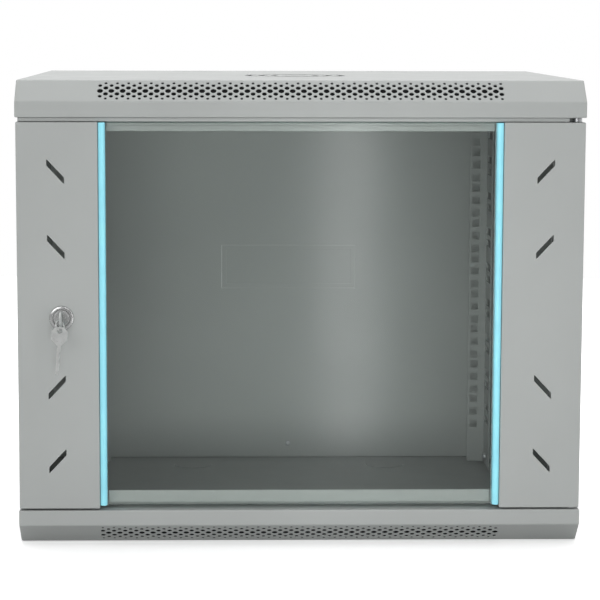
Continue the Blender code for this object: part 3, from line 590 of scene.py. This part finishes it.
KEY_T, CAM_T, CAM_END = 2 * MM, 2 * MM, 7 * MM
KEY_CUTS = (0.0, 1.0, 0.4, 1.3, 0.5, 0.9)  # depth of each cut in the blade, mm
KEY_CUT_PITCH = 4 * MM
NUT_ACROSS, NUT_H = 24.2 * MM, 4 * MM
PLUG_EASE = 0.12 * MM
KEY_HOLE = Vector((LOCK_X, FRONT - 19.8 * MM, LOCK_Z))
SPARE_HANG = Vector((0, -5.5 * MM, -10 * MM))
SPARE_TILT = math.radians(4)
RING_WIRE = 0.42 * MM
SIDE_LOCK_LOW, SIDE_LOCK_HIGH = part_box("side_lock_plug_right")
SIDE_LOCK_Z = (SIDE_LOCK_LOW.z + SIDE_LOCK_HIGH.z) / 2
SIDE_FACE = SIDE - GAP
SIDE_BARREL_L, SIDE_PLUG_L = 5.7 * MM, 7.2 * MM
COIN_SLOT_L, COIN_SLOT_W, COIN_SLOT_FOOT = 14 * MM, 1.6 * MM, 0.6 * MM


def lock_body(name, place, barrel):
    """A rolled bezel round a recess, and a threaded barrel behind; local +Z points out."""
    nose = [(9.1, 0.6), (9.1, 2.2), (9.5, 2.6), (10.4, 2.7), (11.3, 2.5), (12.4, 2.1), (12.9, 1.3),
            (13.1, 0.3), (9.5, 0.3)]
    pitch = 1.0 * MM
    turns = int((barrel - 3 * MM) / pitch)
    profile = [(r * MM, z * MM) for r, z in nose]
    for i in range(turns):
        z = -2 * MM - i * pitch
        profile += [(9.5 * MM, z), (9.0 * MM, z - pitch / 2)]
    profile += [(9.4 * MM, -barrel + 0.4 * MM), (9.0 * MM, -barrel), (6.4 * MM, -barrel),
                (6.4 * MM, 0.6 * MM)]
    return turned(name, profile, place, 64)


def plug_body(name, place, length):
    """A face with a turned ring and eased rim, a core, and the stub that the cam sits on."""
    profile = [(0, 2.9), (5.6, 2.9), (5.9, 3.2), (7.9, 3.2), (8.6, 2.6), (8.6, 1.0), (6.0, 1.0)]
    profile = [(r * MM, z * MM) for r, z in profile]
    profile += [(6.0 * MM, -length), (3.2 * MM, -length), (3.2 * MM, -length - 3.6 * MM),
                (2.8 * MM, -length - 4 * MM), (0, -length - 4 * MM)]
    return turned(name, profile, place, 64)


def cam_plate(node, place, reach):
    """A flat cam with round ends, holes for its stub and near its tip, and eased edges."""
    r = CAM_END
    turns = [math.pi * (i / 16 - 0.5) for i in range(17)]
    outline = [(reach - r + r * math.cos(a), r * math.sin(a)) for a in turns]
    outline += [(-r * math.cos(a), -r * math.sin(a)) for a in turns]
    obj = add(f"{node}_fine", prism([outline], CAM_T, place))
    cut(obj, prism([circle(3.5 * MM, 32), circle(1.6 * MM, 20, reach - r)], 3 * CAM_T, place))
    soften(obj, 0.25 * MM)
    stand_for(shade(obj), node, "zinc")


def hex_nut(name, place, across, bore, height):
    """A chamfered hexagon nut; local Z is its axis."""
    obj = add(name, prism([circle(across / 2 / math.cos(math.pi / 6), 6)], height, place))
    cut(obj, prism([circle(bore, 48)], 2 * height, place))
    soften(obj, 0.35 * MM, 2, 40)
    return shade(obj)


def key_shape(name, place):
    """A bow with cut corners and a raised rim, a shoulder, and a slim cut blade with a milled groove."""
    bow_x0, bow_x1, half, corner = -14 * MM, 4 * MM, 8.5 * MM, 4.5 * MM
    tip, shoulder, blade = -47 * MM, -16 * MM, 2.0 * MM
    upper = [(bow_x1, half - corner), (bow_x1 - corner, half), (bow_x0 + corner, half),
             (bow_x0, half - corner), (shoulder, blade)]
    lower = [(x, -y) for x, y in upper]
    teeth = [(shoulder - (1 + i) * KEY_CUT_PITCH, blade - depth * MM) for i, depth in enumerate(KEY_CUTS)]
    point = [(tip, 0.4 * MM), (tip, -blade + 1.5 * MM), (tip + 2 * MM, -blade)]
    outline = upper + teeth + point + lower[::-1]
    obj = add(name, prism([rounded(outline, 0.6 * MM, 3)], KEY_T, place))
    soften(obj, 0.45 * MM, 3, 60, clamp=False)
    cut(obj, prism([circle(2.9 * MM, 32)], 3 * KEY_T, place))
    rim = 1.8 * MM
    field = [(bow_x1 - 8.4 * MM, half - rim), (bow_x0 + corner, half - rim), (bow_x0 + rim, half - corner),
             (bow_x0 + rim, corner - half), (bow_x0 + corner, rim - half), (bow_x1 - 8.4 * MM, rim - half)]
    groove = [(shoulder + 1 * MM, -0.9 * MM), (shoulder + 1 * MM, 0.5 * MM), (tip - 1 * MM, 0.5 * MM),
              (tip - 1 * MM, -0.9 * MM)]
    for way in (1, -1):
        lift = Matrix.Translation((0, 0, way * KEY_T / 2))
        cut(obj, prism([rounded(field, 0.8 * MM, 3)], 0.7 * MM, place @ lift))
        cut(obj, prism([groove], 0.8 * MM, place @ lift))
    soften(obj, 0.18 * MM, 2)
    return shade(obj)


def wire_piece(name, points, radius, place=Matrix.Identity(4)):
    """Round wire along a row of points, as a closed mesh piece."""
    curve = bpy.data.curves.new(name, "CURVE")
    curve.dimensions = "3D"
    curve.bevel_depth = radius
    curve.bevel_resolution = 3
    curve.use_fill_caps = True
    spline = curve.splines.new("POLY")
    spline.points.add(len(points) - 1)
    for target, point in zip(spline.points, points):
        target.co = (*point, 1)
    obj = bpy.data.objects.new(name, curve)
    bpy.context.scene.collection.objects.link(obj)
    bpy.context.view_layer.update()
    mesh = bpy.data.meshes.new_from_object(obj.evaluated_get(bpy.context.evaluated_depsgraph_get()))
    bpy.data.objects.remove(obj)
    mesh.transform(place)
    bm = bmesh.new()
    bm.from_mesh(mesh)
    bmesh.ops.remove_doubles(bm, verts=bm.verts, dist=0.000005)
    return shade(add(name, to_mesh(name, bm)), 50)


def split_ring(name, place, radius, wire, turns=2.0, steps=80):
    """Two close turns of wire, like a key ring."""
    count = int(turns * steps)
    points = []
    for i in range(count):
        a = 2 * math.pi * i / steps
        side = wire * max(-1.0, min(1.0, 4.0 * (i / count - 0.5)))
        points.append((radius * math.cos(a), radius * math.sin(a), side))
    return wire_piece(name, points, wire, place)


def door_lock():
    place = Matrix.Translation((LOCK_X, FRONT, LOCK_Z)) @ Matrix.Rotation(math.pi / 2, 4, "X")
    stand_for(shade(lock_body("lock_housing_fine", place, BARREL_L)), "lock_housing", "chrome")
    behind = place @ Matrix.Translation((0, 0, -SHEET - GAP - NUT_H / 2))
    nut = hex_nut("lock_nut_fine", behind, NUT_ACROSS, BARREL_HOLE, NUT_H)
    stand_for(nut, "lock_nut", "zinc")
    plug = plug_body("lock_plug_fine", place, PLUG_L)
    keyway = block((-KEY_T / 2 - GAP, -3.8 * MM, -28.5 * MM), (KEY_T / 2 + GAP, 3.8 * MM, 5 * MM))
    keyway.transform(place)
    cut(plug, keyway)
    soften(plug, PLUG_EASE, 2, 40)
    stand_for(shade(plug), "lock_plug", "chrome")
    cam_low, cam_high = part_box("lock_cam")
    cam_place = axes((0, 0, -1), (1, 0, 0), (0, -1, 0), (LOCK_X, (cam_low.y + cam_high.y) / 2, LOCK_Z))
    cam_plate("lock_cam", cam_place, reach=30 * MM)
    screw = [(0, -36.3), (5, -36.3), (5, -37.6), (4.4, -38.4), (3.2, -38.9), (0, -39)]
    cap = turned("lock_cam_screw_fine", [(r * MM, z * MM) for r, z in screw], place, 48)
    for turn in (0, math.pi / 2):
        arm = block((-2.6 * MM, -0.45 * MM, -39.5 * MM), (2.6 * MM, 0.45 * MM, -38.1 * MM))
        arm.transform(place @ Matrix.Rotation(turn, 4, "Z"))
        cut(cap, arm)
    stand_for(shade(cap), "lock_cam_screw", "zinc")


def keys():
    """One key in the lock, edge-on to the front, and its spare hanging from the same split ring."""
    first = key_shape("key_fine", axes((0, -1, 0), (0, 0, 1), (-1, 0, 0), KEY_HOLE))
    stand_for(first, "key", "key_steel")
    reach = Vector((math.sin(SPARE_TILT), 0, math.cos(SPARE_TILT)))
    across = Vector((math.cos(SPARE_TILT), 0, -math.sin(SPARE_TILT)))
    spare = key_shape("spare_key_fine", axes(reach, across, reach.cross(across), KEY_HOLE + SPARE_HANG))
    stand_for(spare, "spare_key", "key_steel")
    down = SPARE_HANG.normalized()
    wire = (Vector((1, 0, 0)) + down.cross(Vector((-1, 0, 0)))).normalized()
    place = axes(wire, down, wire.cross(down), KEY_HOLE + SPARE_HANG / 2)
    stand_for(split_ring("key_ring_fine", place, SPARE_HANG.length / 2, RING_WIRE), "key_ring", "key_steel")


def side_locks():
    """Coin-slot quarter-turn locks at the top of the side panels."""
    for side, x in (("left", -1), ("right", 1)):
        place = Matrix.Translation((x * SIDE_FACE, 0, SIDE_LOCK_Z)) @ Matrix.Rotation(x * math.pi / 2, 4, "Y")
        body = lock_body(f"side_lock_body_{side}_fine", place, SIDE_BARREL_L)
        stand_for(shade(body), f"side_lock_body_{side}", "chrome")
        plug = plug_body(f"side_lock_plug_{side}_fine", place, SIDE_PLUG_L)
        half, thin = COIN_SLOT_L / 2, COIN_SLOT_W / 2
        slot = block((-half, -thin, COIN_SLOT_FOOT), (half, thin, 6 * MM))
        slot.transform(place)
        cut(plug, slot)
        soften(plug, PLUG_EASE, 2, 40)
        stand_for(shade(plug), f"side_lock_plug_{side}", "chrome")
        low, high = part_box(f"side_lock_cam_{side}")
        cam_place = axes((0, 1, 0), (0, 0, 1), (1, 0, 0), ((low.x + high.x) / 2, 0, SIDE_LOCK_Z))
        cam_plate(f"side_lock_cam_{side}", cam_place, reach=26 * MM)


# ---------------------------------------------------------------- hinge, fasteners, fan, earth stud

SPRING_FLAT = 0.7  # turns that lie flat at each end of the spring
PANEL_SCREWS = ((-251, 16), (0, 19), (251, 16), (-251, 480), (251, 480))  # x and z, mm
BOLT_HEAD = 4 * MM
FAN_BOLT_REACH, FAN_BOLT_R = 52.5 * MM, 2.2 * MM
FAN_DUCT_R, FAN_CORNER_R, FAN_CUP_R, FAN_CUP_H = 57.5 * MM, 7 * MM, 20 * MM, 3 * MM
FAN_BLADES, FAN_SPOKES = 7, 3
BLADE_PITCH, BLADE_TWIST, BLADE_SWEEP = 46, 18, 0.35  # degrees at the root, degrees lost to the tip, radians
BLADE_CHORD, BLADE_WIDENS, BLADE_CAMBER = 19, 9, 2.0 * MM  # mm at the root, mm gained at the tip, metres


def hinge():
    fixed = [(0, 14), (1.9, 14), (2.5, 13.2), (2.5, -1.8), (5, -1.8), (5, -4.4), (4.4, -5), (0, -5)]
    under = Matrix.Translation((HINGE_X, HINGE_Y, COVER_H))
    pin = turned("hinge_pin_bottom_fine", [(r * MM, z * MM) for r, z in fixed], under, 40)
    stand_for(shade(pin), "hinge_pin_bottom", "zinc")
    above = Matrix.Translation((HINGE_X, HINGE_Y, DOOR_HIGH))
    sprung = [(0, 12), (1.9, 12), (2.5, 11.2), (2.5, -1.8), (4.1, -1.8), (4.5, -2.2), (4.5, -3.6),
              (4.1, -4), (2.5, -4), (2.5, -29), (3.9, -29), (4.5, -29.6), (4.5, -31), (3.7, -31.6),
              (3.7, -33.6), (4.5, -34.2), (4.5, -35.2), (3.8, -36), (0, -36)]
    pin = turned("hinge_pin_top_fine", [(r * MM, z * MM) for r, z in sprung], above, 40)
    stand_for(shade(pin), "hinge_pin_top", "zinc")
    for node in ("hinge_washer_bottom", "hinge_washer_top"):
        low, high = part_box(node)
        r, t, edge = (high.x - low.x) / 2, high.z - low.z, 0.3 * MM
        ring = [(PIN_R + GAP, t), (r - edge, t), (r, t - edge), (r, edge), (r - edge, 0), (PIN_R + GAP, 0)]
        washer = turned(f"{node}_fine", ring, Matrix.Translation((HINGE_X, HINGE_Y, low.z)), 40)
        stand_for(shade(washer), node, "zinc")
    refined("hinge_bracket", "zinc")
    spring()


def spring(turns=5.5, wire=0.45 * MM, radius=3.5 * MM, steps=28):
    """A compression spring with closed ends."""
    low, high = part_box("hinge_spring")
    bottom, top = low.z + wire, high.z - wire
    count = int(turns * steps)
    points = []
    for i in range(count + 1):
        a = 2 * math.pi * i / steps
        share = max(0.0, min(1.0, (i / count * turns - SPRING_FLAT) / (turns - 2 * SPRING_FLAT)))
        lift = share * share * (3 - 2 * share) * 0.25 + share * 0.75
        z = bottom + (top - bottom) * lift
        points.append((HINGE_X + radius * math.cos(a), HINGE_Y + radius * math.sin(a), z))
    obj = wire_piece("hinge_spring_fine", points, wire)
    obj.modifiers.clear()
    stand_for(obj, "hinge_spring", "zinc")
    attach(obj, "door")
    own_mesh(obj)


def bolt_mesh():
    """A button-head bolt with a hexagon socket, on a flat washer; local +Z points out of the sheet."""
    cap = [(0, 4.0), (2.6, 4.0), (4.0, 3.4), (4.7, 2.4), (5.0, 1.2), (5.0, 0.0), (3, 0), (3, -10),
           (2.6, -10.4), (0, -10.4)]
    obj = turned("bolt", [(r * MM, z * MM) for r, z in cap], Matrix.Identity(4), 40)
    cut(obj, prism([circle(2.3 * MM, 6)], 5 * MM, Matrix.Translation((0, 0, BOLT_HEAD))))
    soften(obj, 0.1 * MM, 2, 50)
    settle(obj)
    mesh = obj.data
    bpy.data.objects.remove(obj)
    return mesh


def rail_bolts():
    mesh = bolt_mesh()
    for which in ("front", "rear"):
        for side, x in (("left", -1), ("right", 1)):
            for level in ("bottom", "top"):
                node = f"rail_bolt_{which}_{side}_{level}"
                low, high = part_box(node)
                head = low.x if x > 0 else high.x
                middle = (low + high) / 2
                place = Matrix.Translation((head + x * BOLT_HEAD, middle.y, middle.z))
                place = place @ Matrix.Rotation(-x * math.pi / 2, 4, "Y")
                copy = mesh.copy()
                copy.transform(place)
                stand_for(shade(add(f"{node}_fine", copy)), node, "zinc")


def pan_screw(name, place, radius, height):
    """A pan head with a cross recess, fixed to the cabinet; local +Z points out."""
    crown = [(radius * math.sin(a), height * (0.35 + 0.65 * math.cos(a))) for a in (0.35, 0.7, 1.05, 1.35)]
    obj = turned(name, [(0, height), *crown, (radius, 0), (0, 0)], place, 32)
    long, thin = 0.55 * radius, 0.11 * radius
    for turn in (0, math.pi / 2):
        arm = block((-long, -thin, 0.45 * height), (long, thin, 2 * height))
        arm.transform(place @ Matrix.Rotation(turn + 0.3, 4, "Z"))
        cut(obj, arm)
    return fit_piece(shade(obj), "cabinet", "zinc")


def small_screws():
    """Heads on the rear panel's inner face, and the four that hold the fan under the roof."""
    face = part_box("rear_knockout")[0].y
    for i, (x, z) in enumerate(PANEL_SCREWS):
        place = Matrix.Translation((x * MM, face, z * MM)) @ Matrix.Rotation(math.pi / 2, 4, "X")
        pan_screw(f"rear_panel_screw_{i}", place, 3.0 * MM, 1.6 * MM)
    for i in range(4):
        x, y = FAN_BOLT_REACH * (1 if i % 2 else -1), FAN_Y + FAN_BOLT_REACH * (1 if i > 1 else -1)
        pan_screw(f"fan_screw_{i}", Matrix.Translation((x, y, HEIGHT)), 3.2 * MM, 0.5 * MM)


def fan_blade(root, tip, z_mid, thickness=1.5 * MM, across=10, along=10):
    """One swept blade: its pitch flattens and its chord widens towards the tip."""
    bm = bmesh.new()
    rows = []
    for i in range(along + 1):
        s = i / along
        radius = root + (tip - root) * s
        pitch = math.radians(BLADE_PITCH - BLADE_TWIST * s)
        chord = (BLADE_CHORD + BLADE_WIDENS * s) * MM
        sweep = BLADE_SWEEP * s * s
        row = []
        for k in range(across + 1):
            t = k / across - 0.5
            camber = BLADE_CAMBER * (1 - 4 * t * t)
            turn = sweep + t * chord * math.cos(pitch) / radius
            row.append(bm.verts.new((radius * math.cos(turn), radius * math.sin(turn),
                                     z_mid + t * chord * math.sin(pitch) * 0.8 + camber)))
        rows.append(row)
    for a, b in zip(rows, rows[1:]):
        for k in range(across):
            bm.faces.new((a[k], a[k + 1], b[k + 1], b[k]))
    obj = add("blade", to_mesh("blade", bm))
    modify(obj, "SOLIDIFY", thickness=thickness, offset=0.0)
    settle(obj)
    mesh = obj.data
    bpy.data.objects.remove(obj)
    return mesh


def fan():
    low, high = FAN_LOW, FAN_HIGH
    size, deep = high.x - low.x, high.z - low.z
    centre = Matrix.Translation((0, FAN_Y, low.z + deep / 2))
    outer = [(-size / 2, -size / 2), (size / 2, -size / 2), (size / 2, size / 2), (-size / 2, size / 2)]
    housing = add("fan_frame_fine", prism([rounded(outer, FAN_CORNER_R, 8)], deep, centre))
    cut(housing, prism([circle(FAN_DUCT_R, 96)], deep + 10 * MM, centre))
    reach, ways = FAN_BOLT_REACH, (-1, 1)
    holes = [circle(FAN_BOLT_R, 24, x * reach, y * reach) for x in ways for y in ways]
    cut(housing, prism(holes, deep + 10 * MM, centre))
    cup = Matrix.Translation((0, FAN_Y, low.z + FAN_CUP_H / 2))
    join(housing, prism([circle(FAN_CUP_R, 48)], FAN_CUP_H, cup))
    for i in range(FAN_SPOKES):
        arm = block((15 * MM, -2 * MM, 0.2 * MM), (FAN_DUCT_R + 1.1 * MM, 2 * MM, FAN_CUP_H - 0.2 * MM))
        turn = math.radians(45 + 360 / FAN_SPOKES * i)
        arm.transform(Matrix.Translation((0, FAN_Y, low.z)) @ Matrix.Rotation(turn, 4, "Z"))
        join(housing, arm)
    soften(housing, 0.5 * MM)
    stand_for(shade(housing), "fan_frame", "fan_plastic")
    base = low.z + 4 * MM
    hub_profile = [(0, 18), (14, 18), (16.6, 17.6), (18.4, 16.4), (19, 14.4), (19, 0.6), (18.4, 0), (0, 0)]
    hub = turned("fan_rotor_fine", [(r * MM, z * MM) for r, z in hub_profile],
                 Matrix.Translation((0, FAN_Y, base)), 72)
    for i in range(FAN_BLADES):
        blade = fan_blade(17.5 * MM, 54.5 * MM, 7.6 * MM)
        turn = 2 * math.pi * i / FAN_BLADES
        blade.transform(Matrix.Translation((0, FAN_Y, base)) @ Matrix.Rotation(turn, 4, "Z"))
        join(hub, blade)
    stand_for(shade(hub), "fan_rotor", "fan_plastic")


def earth_stud():
    low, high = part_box("earth_stud")
    x, y = (low.x + high.x) / 2, (low.y + high.y) / 2
    thread = [(0, 16), (2.5, 16)]
    z = 15.5
    while z > 4.0:
        thread += [(3.0, z), (2.6, z - 0.5)]
        z -= 1.0
    thread += [(3.0, 3.4), (6.6, 3.4), (7.0, 3.0), (7.0, 0.4), (6.6, 0), (0, 0)]
    root = Matrix.Translation((x, y, low.z))
    stud = turned("earth_stud_fine", [(r * MM, z * MM) for r, z in thread], root, 40)
    stand_for(shade(stud), "earth_stud", "zinc")
    nut = hex_nut("earth_nut", Matrix.Translation((x, y, low.z + 6.2 * MM)), 10 * MM, 3.0 * MM, 5 * MM)
    fit_piece(nut, "cabinet", "zinc")


# ---------------------------------------------------------------- the other sheets

PLAIN_SHEETS = ("rear_panel", "front_post_left", "front_post_right", "front_beam_bottom", "door_bar_bottom",
                "depth_bracket_bottom_left", "depth_bracket_bottom_right", "depth_bracket_top_left",
                "depth_bracket_top_right")
UNIT, UNITS = 44.45 * MM, 9
LACING_W, LACING_H, LACING_RISE = 34 * MM, 9 * MM, UNIT / 6
NOSE_BACK, NOSE_FROM_SIDE, NOSE_FROM_HINGE = 4 * MM, 3 * MM, 9 * MM
LIP_ABOVE, LIP_BELOW, LIP_STEP, LIP_SHORT = 4 * MM, 5.5 * MM, 0.8 * MM, 4 * MM  # at a side panel's foot
BLANK_GROWN, BLANK_BORDER, BLANK_PRESS = 0.65 * MM, 5 * MM, 0.5 * MM


def plain_sheets():
    for node in PLAIN_SHEETS:
        refined(node, "paint")


def rails():
    """The four rails, with two lacing slots per rack unit in each flange."""
    middles = [MID_Z + (u - (UNITS - 1) / 2) * UNIT for u in range(UNITS)]
    w, h = LACING_W / 2, LACING_H / 2
    for node in (f"rail_{row}_{side}" for row in ("front", "rear") for side in ("left", "right")):
        low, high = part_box(node)
        y = (low.y + high.y) / 2
        slots = [rounded([(y - w, z - h), (y + w, z - h), (y + w, z + h), (y - w, z + h)], 1.5 * MM, 3)
                 for middle in middles for z in (middle - LACING_RISE, middle + LACING_RISE)]
        flange = high.x if node.endswith("right") else low.x
        cutter = prism(slots, 6 * SHEET, Matrix.Translation((flange, 0, 0)) @ ALONG_X)
        refined(node, "paint", removed=[cutter])


def side_panels():
    """The tilting sides, each with a joggled lip that drops inside the bottom cover's wall."""
    for side, x in (("left", -1), ("right", 1)):
        low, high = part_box(f"side_panel_{side}")
        inner, outer = SIDE - 2 * SHEET - 2 * GAP, SIDE - SHEET - 2 * GAP
        root, step, foot = SIDE - GAP - SHEET / 2, low.z + LIP_STEP, low.z - LIP_BELOW
        outline = [(root, step), (root, step + LIP_ABOVE), (inner, step + LIP_ABOVE), (inner, foot),
                   (outer, foot), (outer, step)]
        place = axes((x, 0, 0), (0, 0, 1), (0, 1, 0), (0, (low.y + high.y) / 2, 0))
        lip = prism([outline], high.y - low.y - LIP_SHORT, place)
        if x > 0:
            lip.flip_normals()
        refined(f"side_panel_{side}", "paint", joined=[lip])


def top_edges():
    """The beam's hemmed nose behind the roof's face, and the upper bar's flange that rises to meet it."""
    low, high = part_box("front_beam_top")
    left, right, under = -SIDE + NOSE_FROM_SIDE, HINGE_X - NOSE_FROM_HINGE, DOOR_HIGH + 2 * GAP
    nose = block((left, FRONT + NOSE_BACK, under), (right, low.y + SHEET, high.z))
    refined("front_beam_top", "paint", joined=[nose])
    low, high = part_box("door_bar_top")
    flange = block((low.x, low.y, high.z - 2 * SHEET), (high.x, low.y + SHEET, DOOR_HIGH))
    refined("door_bar_top", "paint", joined=[flange])


def rear_blank():
    """The rear knock-out, a hair smaller than its opening, with a pressed border."""
    low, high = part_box("rear_knockout")
    grown, border = Vector((BLANK_GROWN, 0, BLANK_GROWN)), Vector((BLANK_BORDER, 0, BLANK_BORDER))
    obj = add("rear_knockout_fine", block(low - grown, high + grown))
    press = Vector((0, BLANK_PRESS, 0))
    cut(obj, block(low + border - press, (high.x - border.x, low.y + press.y, high.z - border.z)))
    soften(obj, 0.15 * MM)
    stand_for(shade(obj), "rear_knockout", "paint")


# ---------------------------------------------------------------- studio

CAMERA_AT = Vector((-76.6 * MM, -2378.7 * MM, 555.6 * MM))
CAMERA_DOWN, CAMERA_RIGHT, CAMERA_ROLL = (math.radians(a) for a in (6.67, 1.17, 0.12))
CAMERA_LENS, CAMERA_SENSOR, CAMERA_SHIFT = 123.36, 36, (0.05, -0.06)  # mm, mm, share of the frame
SOFTBOXES = (  # name, where it stands, what it faces, size, watts
    ("top_softbox", (0, 1.1, 3.0), (0, 0.1, 0.4), (3.0, 3.0), 50.0),
    ("left_softbox", (-1.4, -2.8, 1.3), (0, 0, 0.4), (1.6, 1.3), 12.5),
    ("high_softbox", (0.7, -2.6, 2.1), (0, 0, 0.3), (1.2, 1.2), 7.5),
    ("front_fill", (0.0, -3.2, 0.28), (0, 0, 0.27), (1.4, 0.5), 27.0),
    ("near_strip", (0.075, -0.62, 0.25), (0.075, 0, 0.25), (0.066, 0.45), 0.34),
)
SKY_FRONT, SKY_BACK = 0.27, 1.05  # light from the room in front and from behind
FLOOR_LIT, FLOOR_GLOW, FLOOR_R = 0.52, 0.38, 2.2  # brightness to other surfaces, glow to the camera, radius


def camera():
    data = bpy.data.cameras.new("camera")
    data.lens = CAMERA_LENS
    data.sensor_width = CAMERA_SENSOR
    data.shift_x, data.shift_y = CAMERA_SHIFT
    data.clip_start, data.clip_end = 0.05, 50
    obj = bpy.data.objects.new("camera", data)
    bpy.context.scene.collection.objects.link(obj)
    look = (Matrix.Rotation(-CAMERA_RIGHT, 4, "Z") @ Matrix.Rotation(-CAMERA_DOWN, 4, "X")
            @ Matrix.Rotation(-CAMERA_ROLL, 4, "Y") @ Matrix.Rotation(math.pi / 2, 4, "X"))
    obj.matrix_world = Matrix.Translation(CAMERA_AT) @ look
    bpy.context.scene.camera = obj


def lights():
    """Soft boxes around the cabinet; the fill stays out of reflections, the near strip out of view."""
    for name, at, aim, size, watts in SOFTBOXES:
        data = bpy.data.lights.new(name, "AREA")
        data.shape = "RECTANGLE"
        data.size, data.size_y = size
        data.energy = watts
        obj = bpy.data.objects.new(name, data)
        bpy.context.scene.collection.objects.link(obj)
        turn = (Vector(aim) - Vector(at)).to_track_quat("-Z", "Y").to_matrix().to_4x4()
        obj.matrix_world = Matrix.Translation(at) @ turn
        obj.visible_glossy = name != "front_fill"
        obj.visible_camera = name != "near_strip"


def sky():
    """Even light, stronger from behind; white where the camera sees it."""
    scene = bpy.context.scene
    scene.view_settings.view_transform = "Standard"
    world = bpy.data.worlds.new("studio")
    scene.world = world
    world.use_nodes = True
    tree = world.node_tree
    new, link = tree.nodes.new, tree.links.new
    lit, seen = tree.nodes["Background"], new("ShaderNodeBackground")
    for node in (lit, seen):
        node.inputs["Color"].default_value = (1, 1, 1, 1)
    seen.inputs["Strength"].default_value = 1.0
    way, level = new("ShaderNodeSeparateXYZ"), new("ShaderNodeMapRange")
    link(new("ShaderNodeTexCoord").outputs["Generated"], way.inputs["Vector"])
    for socket, number in (("From Min", -1), ("From Max", 1), ("To Min", SKY_FRONT), ("To Max", SKY_BACK)):
        level.inputs[socket].default_value = number
    link(way.outputs["Y"], level.inputs["Value"])
    link(level.outputs["Result"], lit.inputs["Strength"])
    path, mix = new("ShaderNodeLightPath"), new("ShaderNodeMixShader")
    link(path.outputs["Is Camera Ray"], mix.inputs["Fac"])
    link(lit.outputs["Background"], mix.inputs[1])
    link(seen.outputs["Background"], mix.inputs[2])
    link(mix.outputs["Shader"], tree.nodes["World Output"].inputs["Surface"])


def floor():
    """A pale disc, darker in the light that it throws back than to the camera."""
    g = Graph("studio_floor")
    direct = g.node("ShaderNodeLightPath").outputs["Is Camera Ray"]
    tone = g.spread(direct, FLOOR_LIT, 1.0, 0.0, 1.0)
    g.tree.links.new(g.spread(g.noise(2.0), 0.97, 1.0), tone.node.inputs["To Max"])
    glow = g.spread(direct, 0.0, FLOOR_GLOW, 0.0, 1.0)
    g.set(Base_Color=tone, Roughness=0.9, Emission_Color=(1, 1, 1, 1), Emission_Strength=glow)
    bm = bmesh.new()
    bmesh.ops.create_circle(bm, segments=96, radius=FLOOR_R, cap_ends=True)
    obj = add("studio_floor", to_mesh("studio_floor", bm))
    obj.location.z = -GAP
    obj.data.materials.append(g.material)


for build in (camera, sky, lights, floor, covers, vent_shade_sheets, knockouts, stiles, glazing, door_lock, keys,
              side_locks, hinge, rail_bolts, small_screws, fan, earth_stud, plain_sheets, rails, top_edges,
              side_panels, rear_blank):
    build()
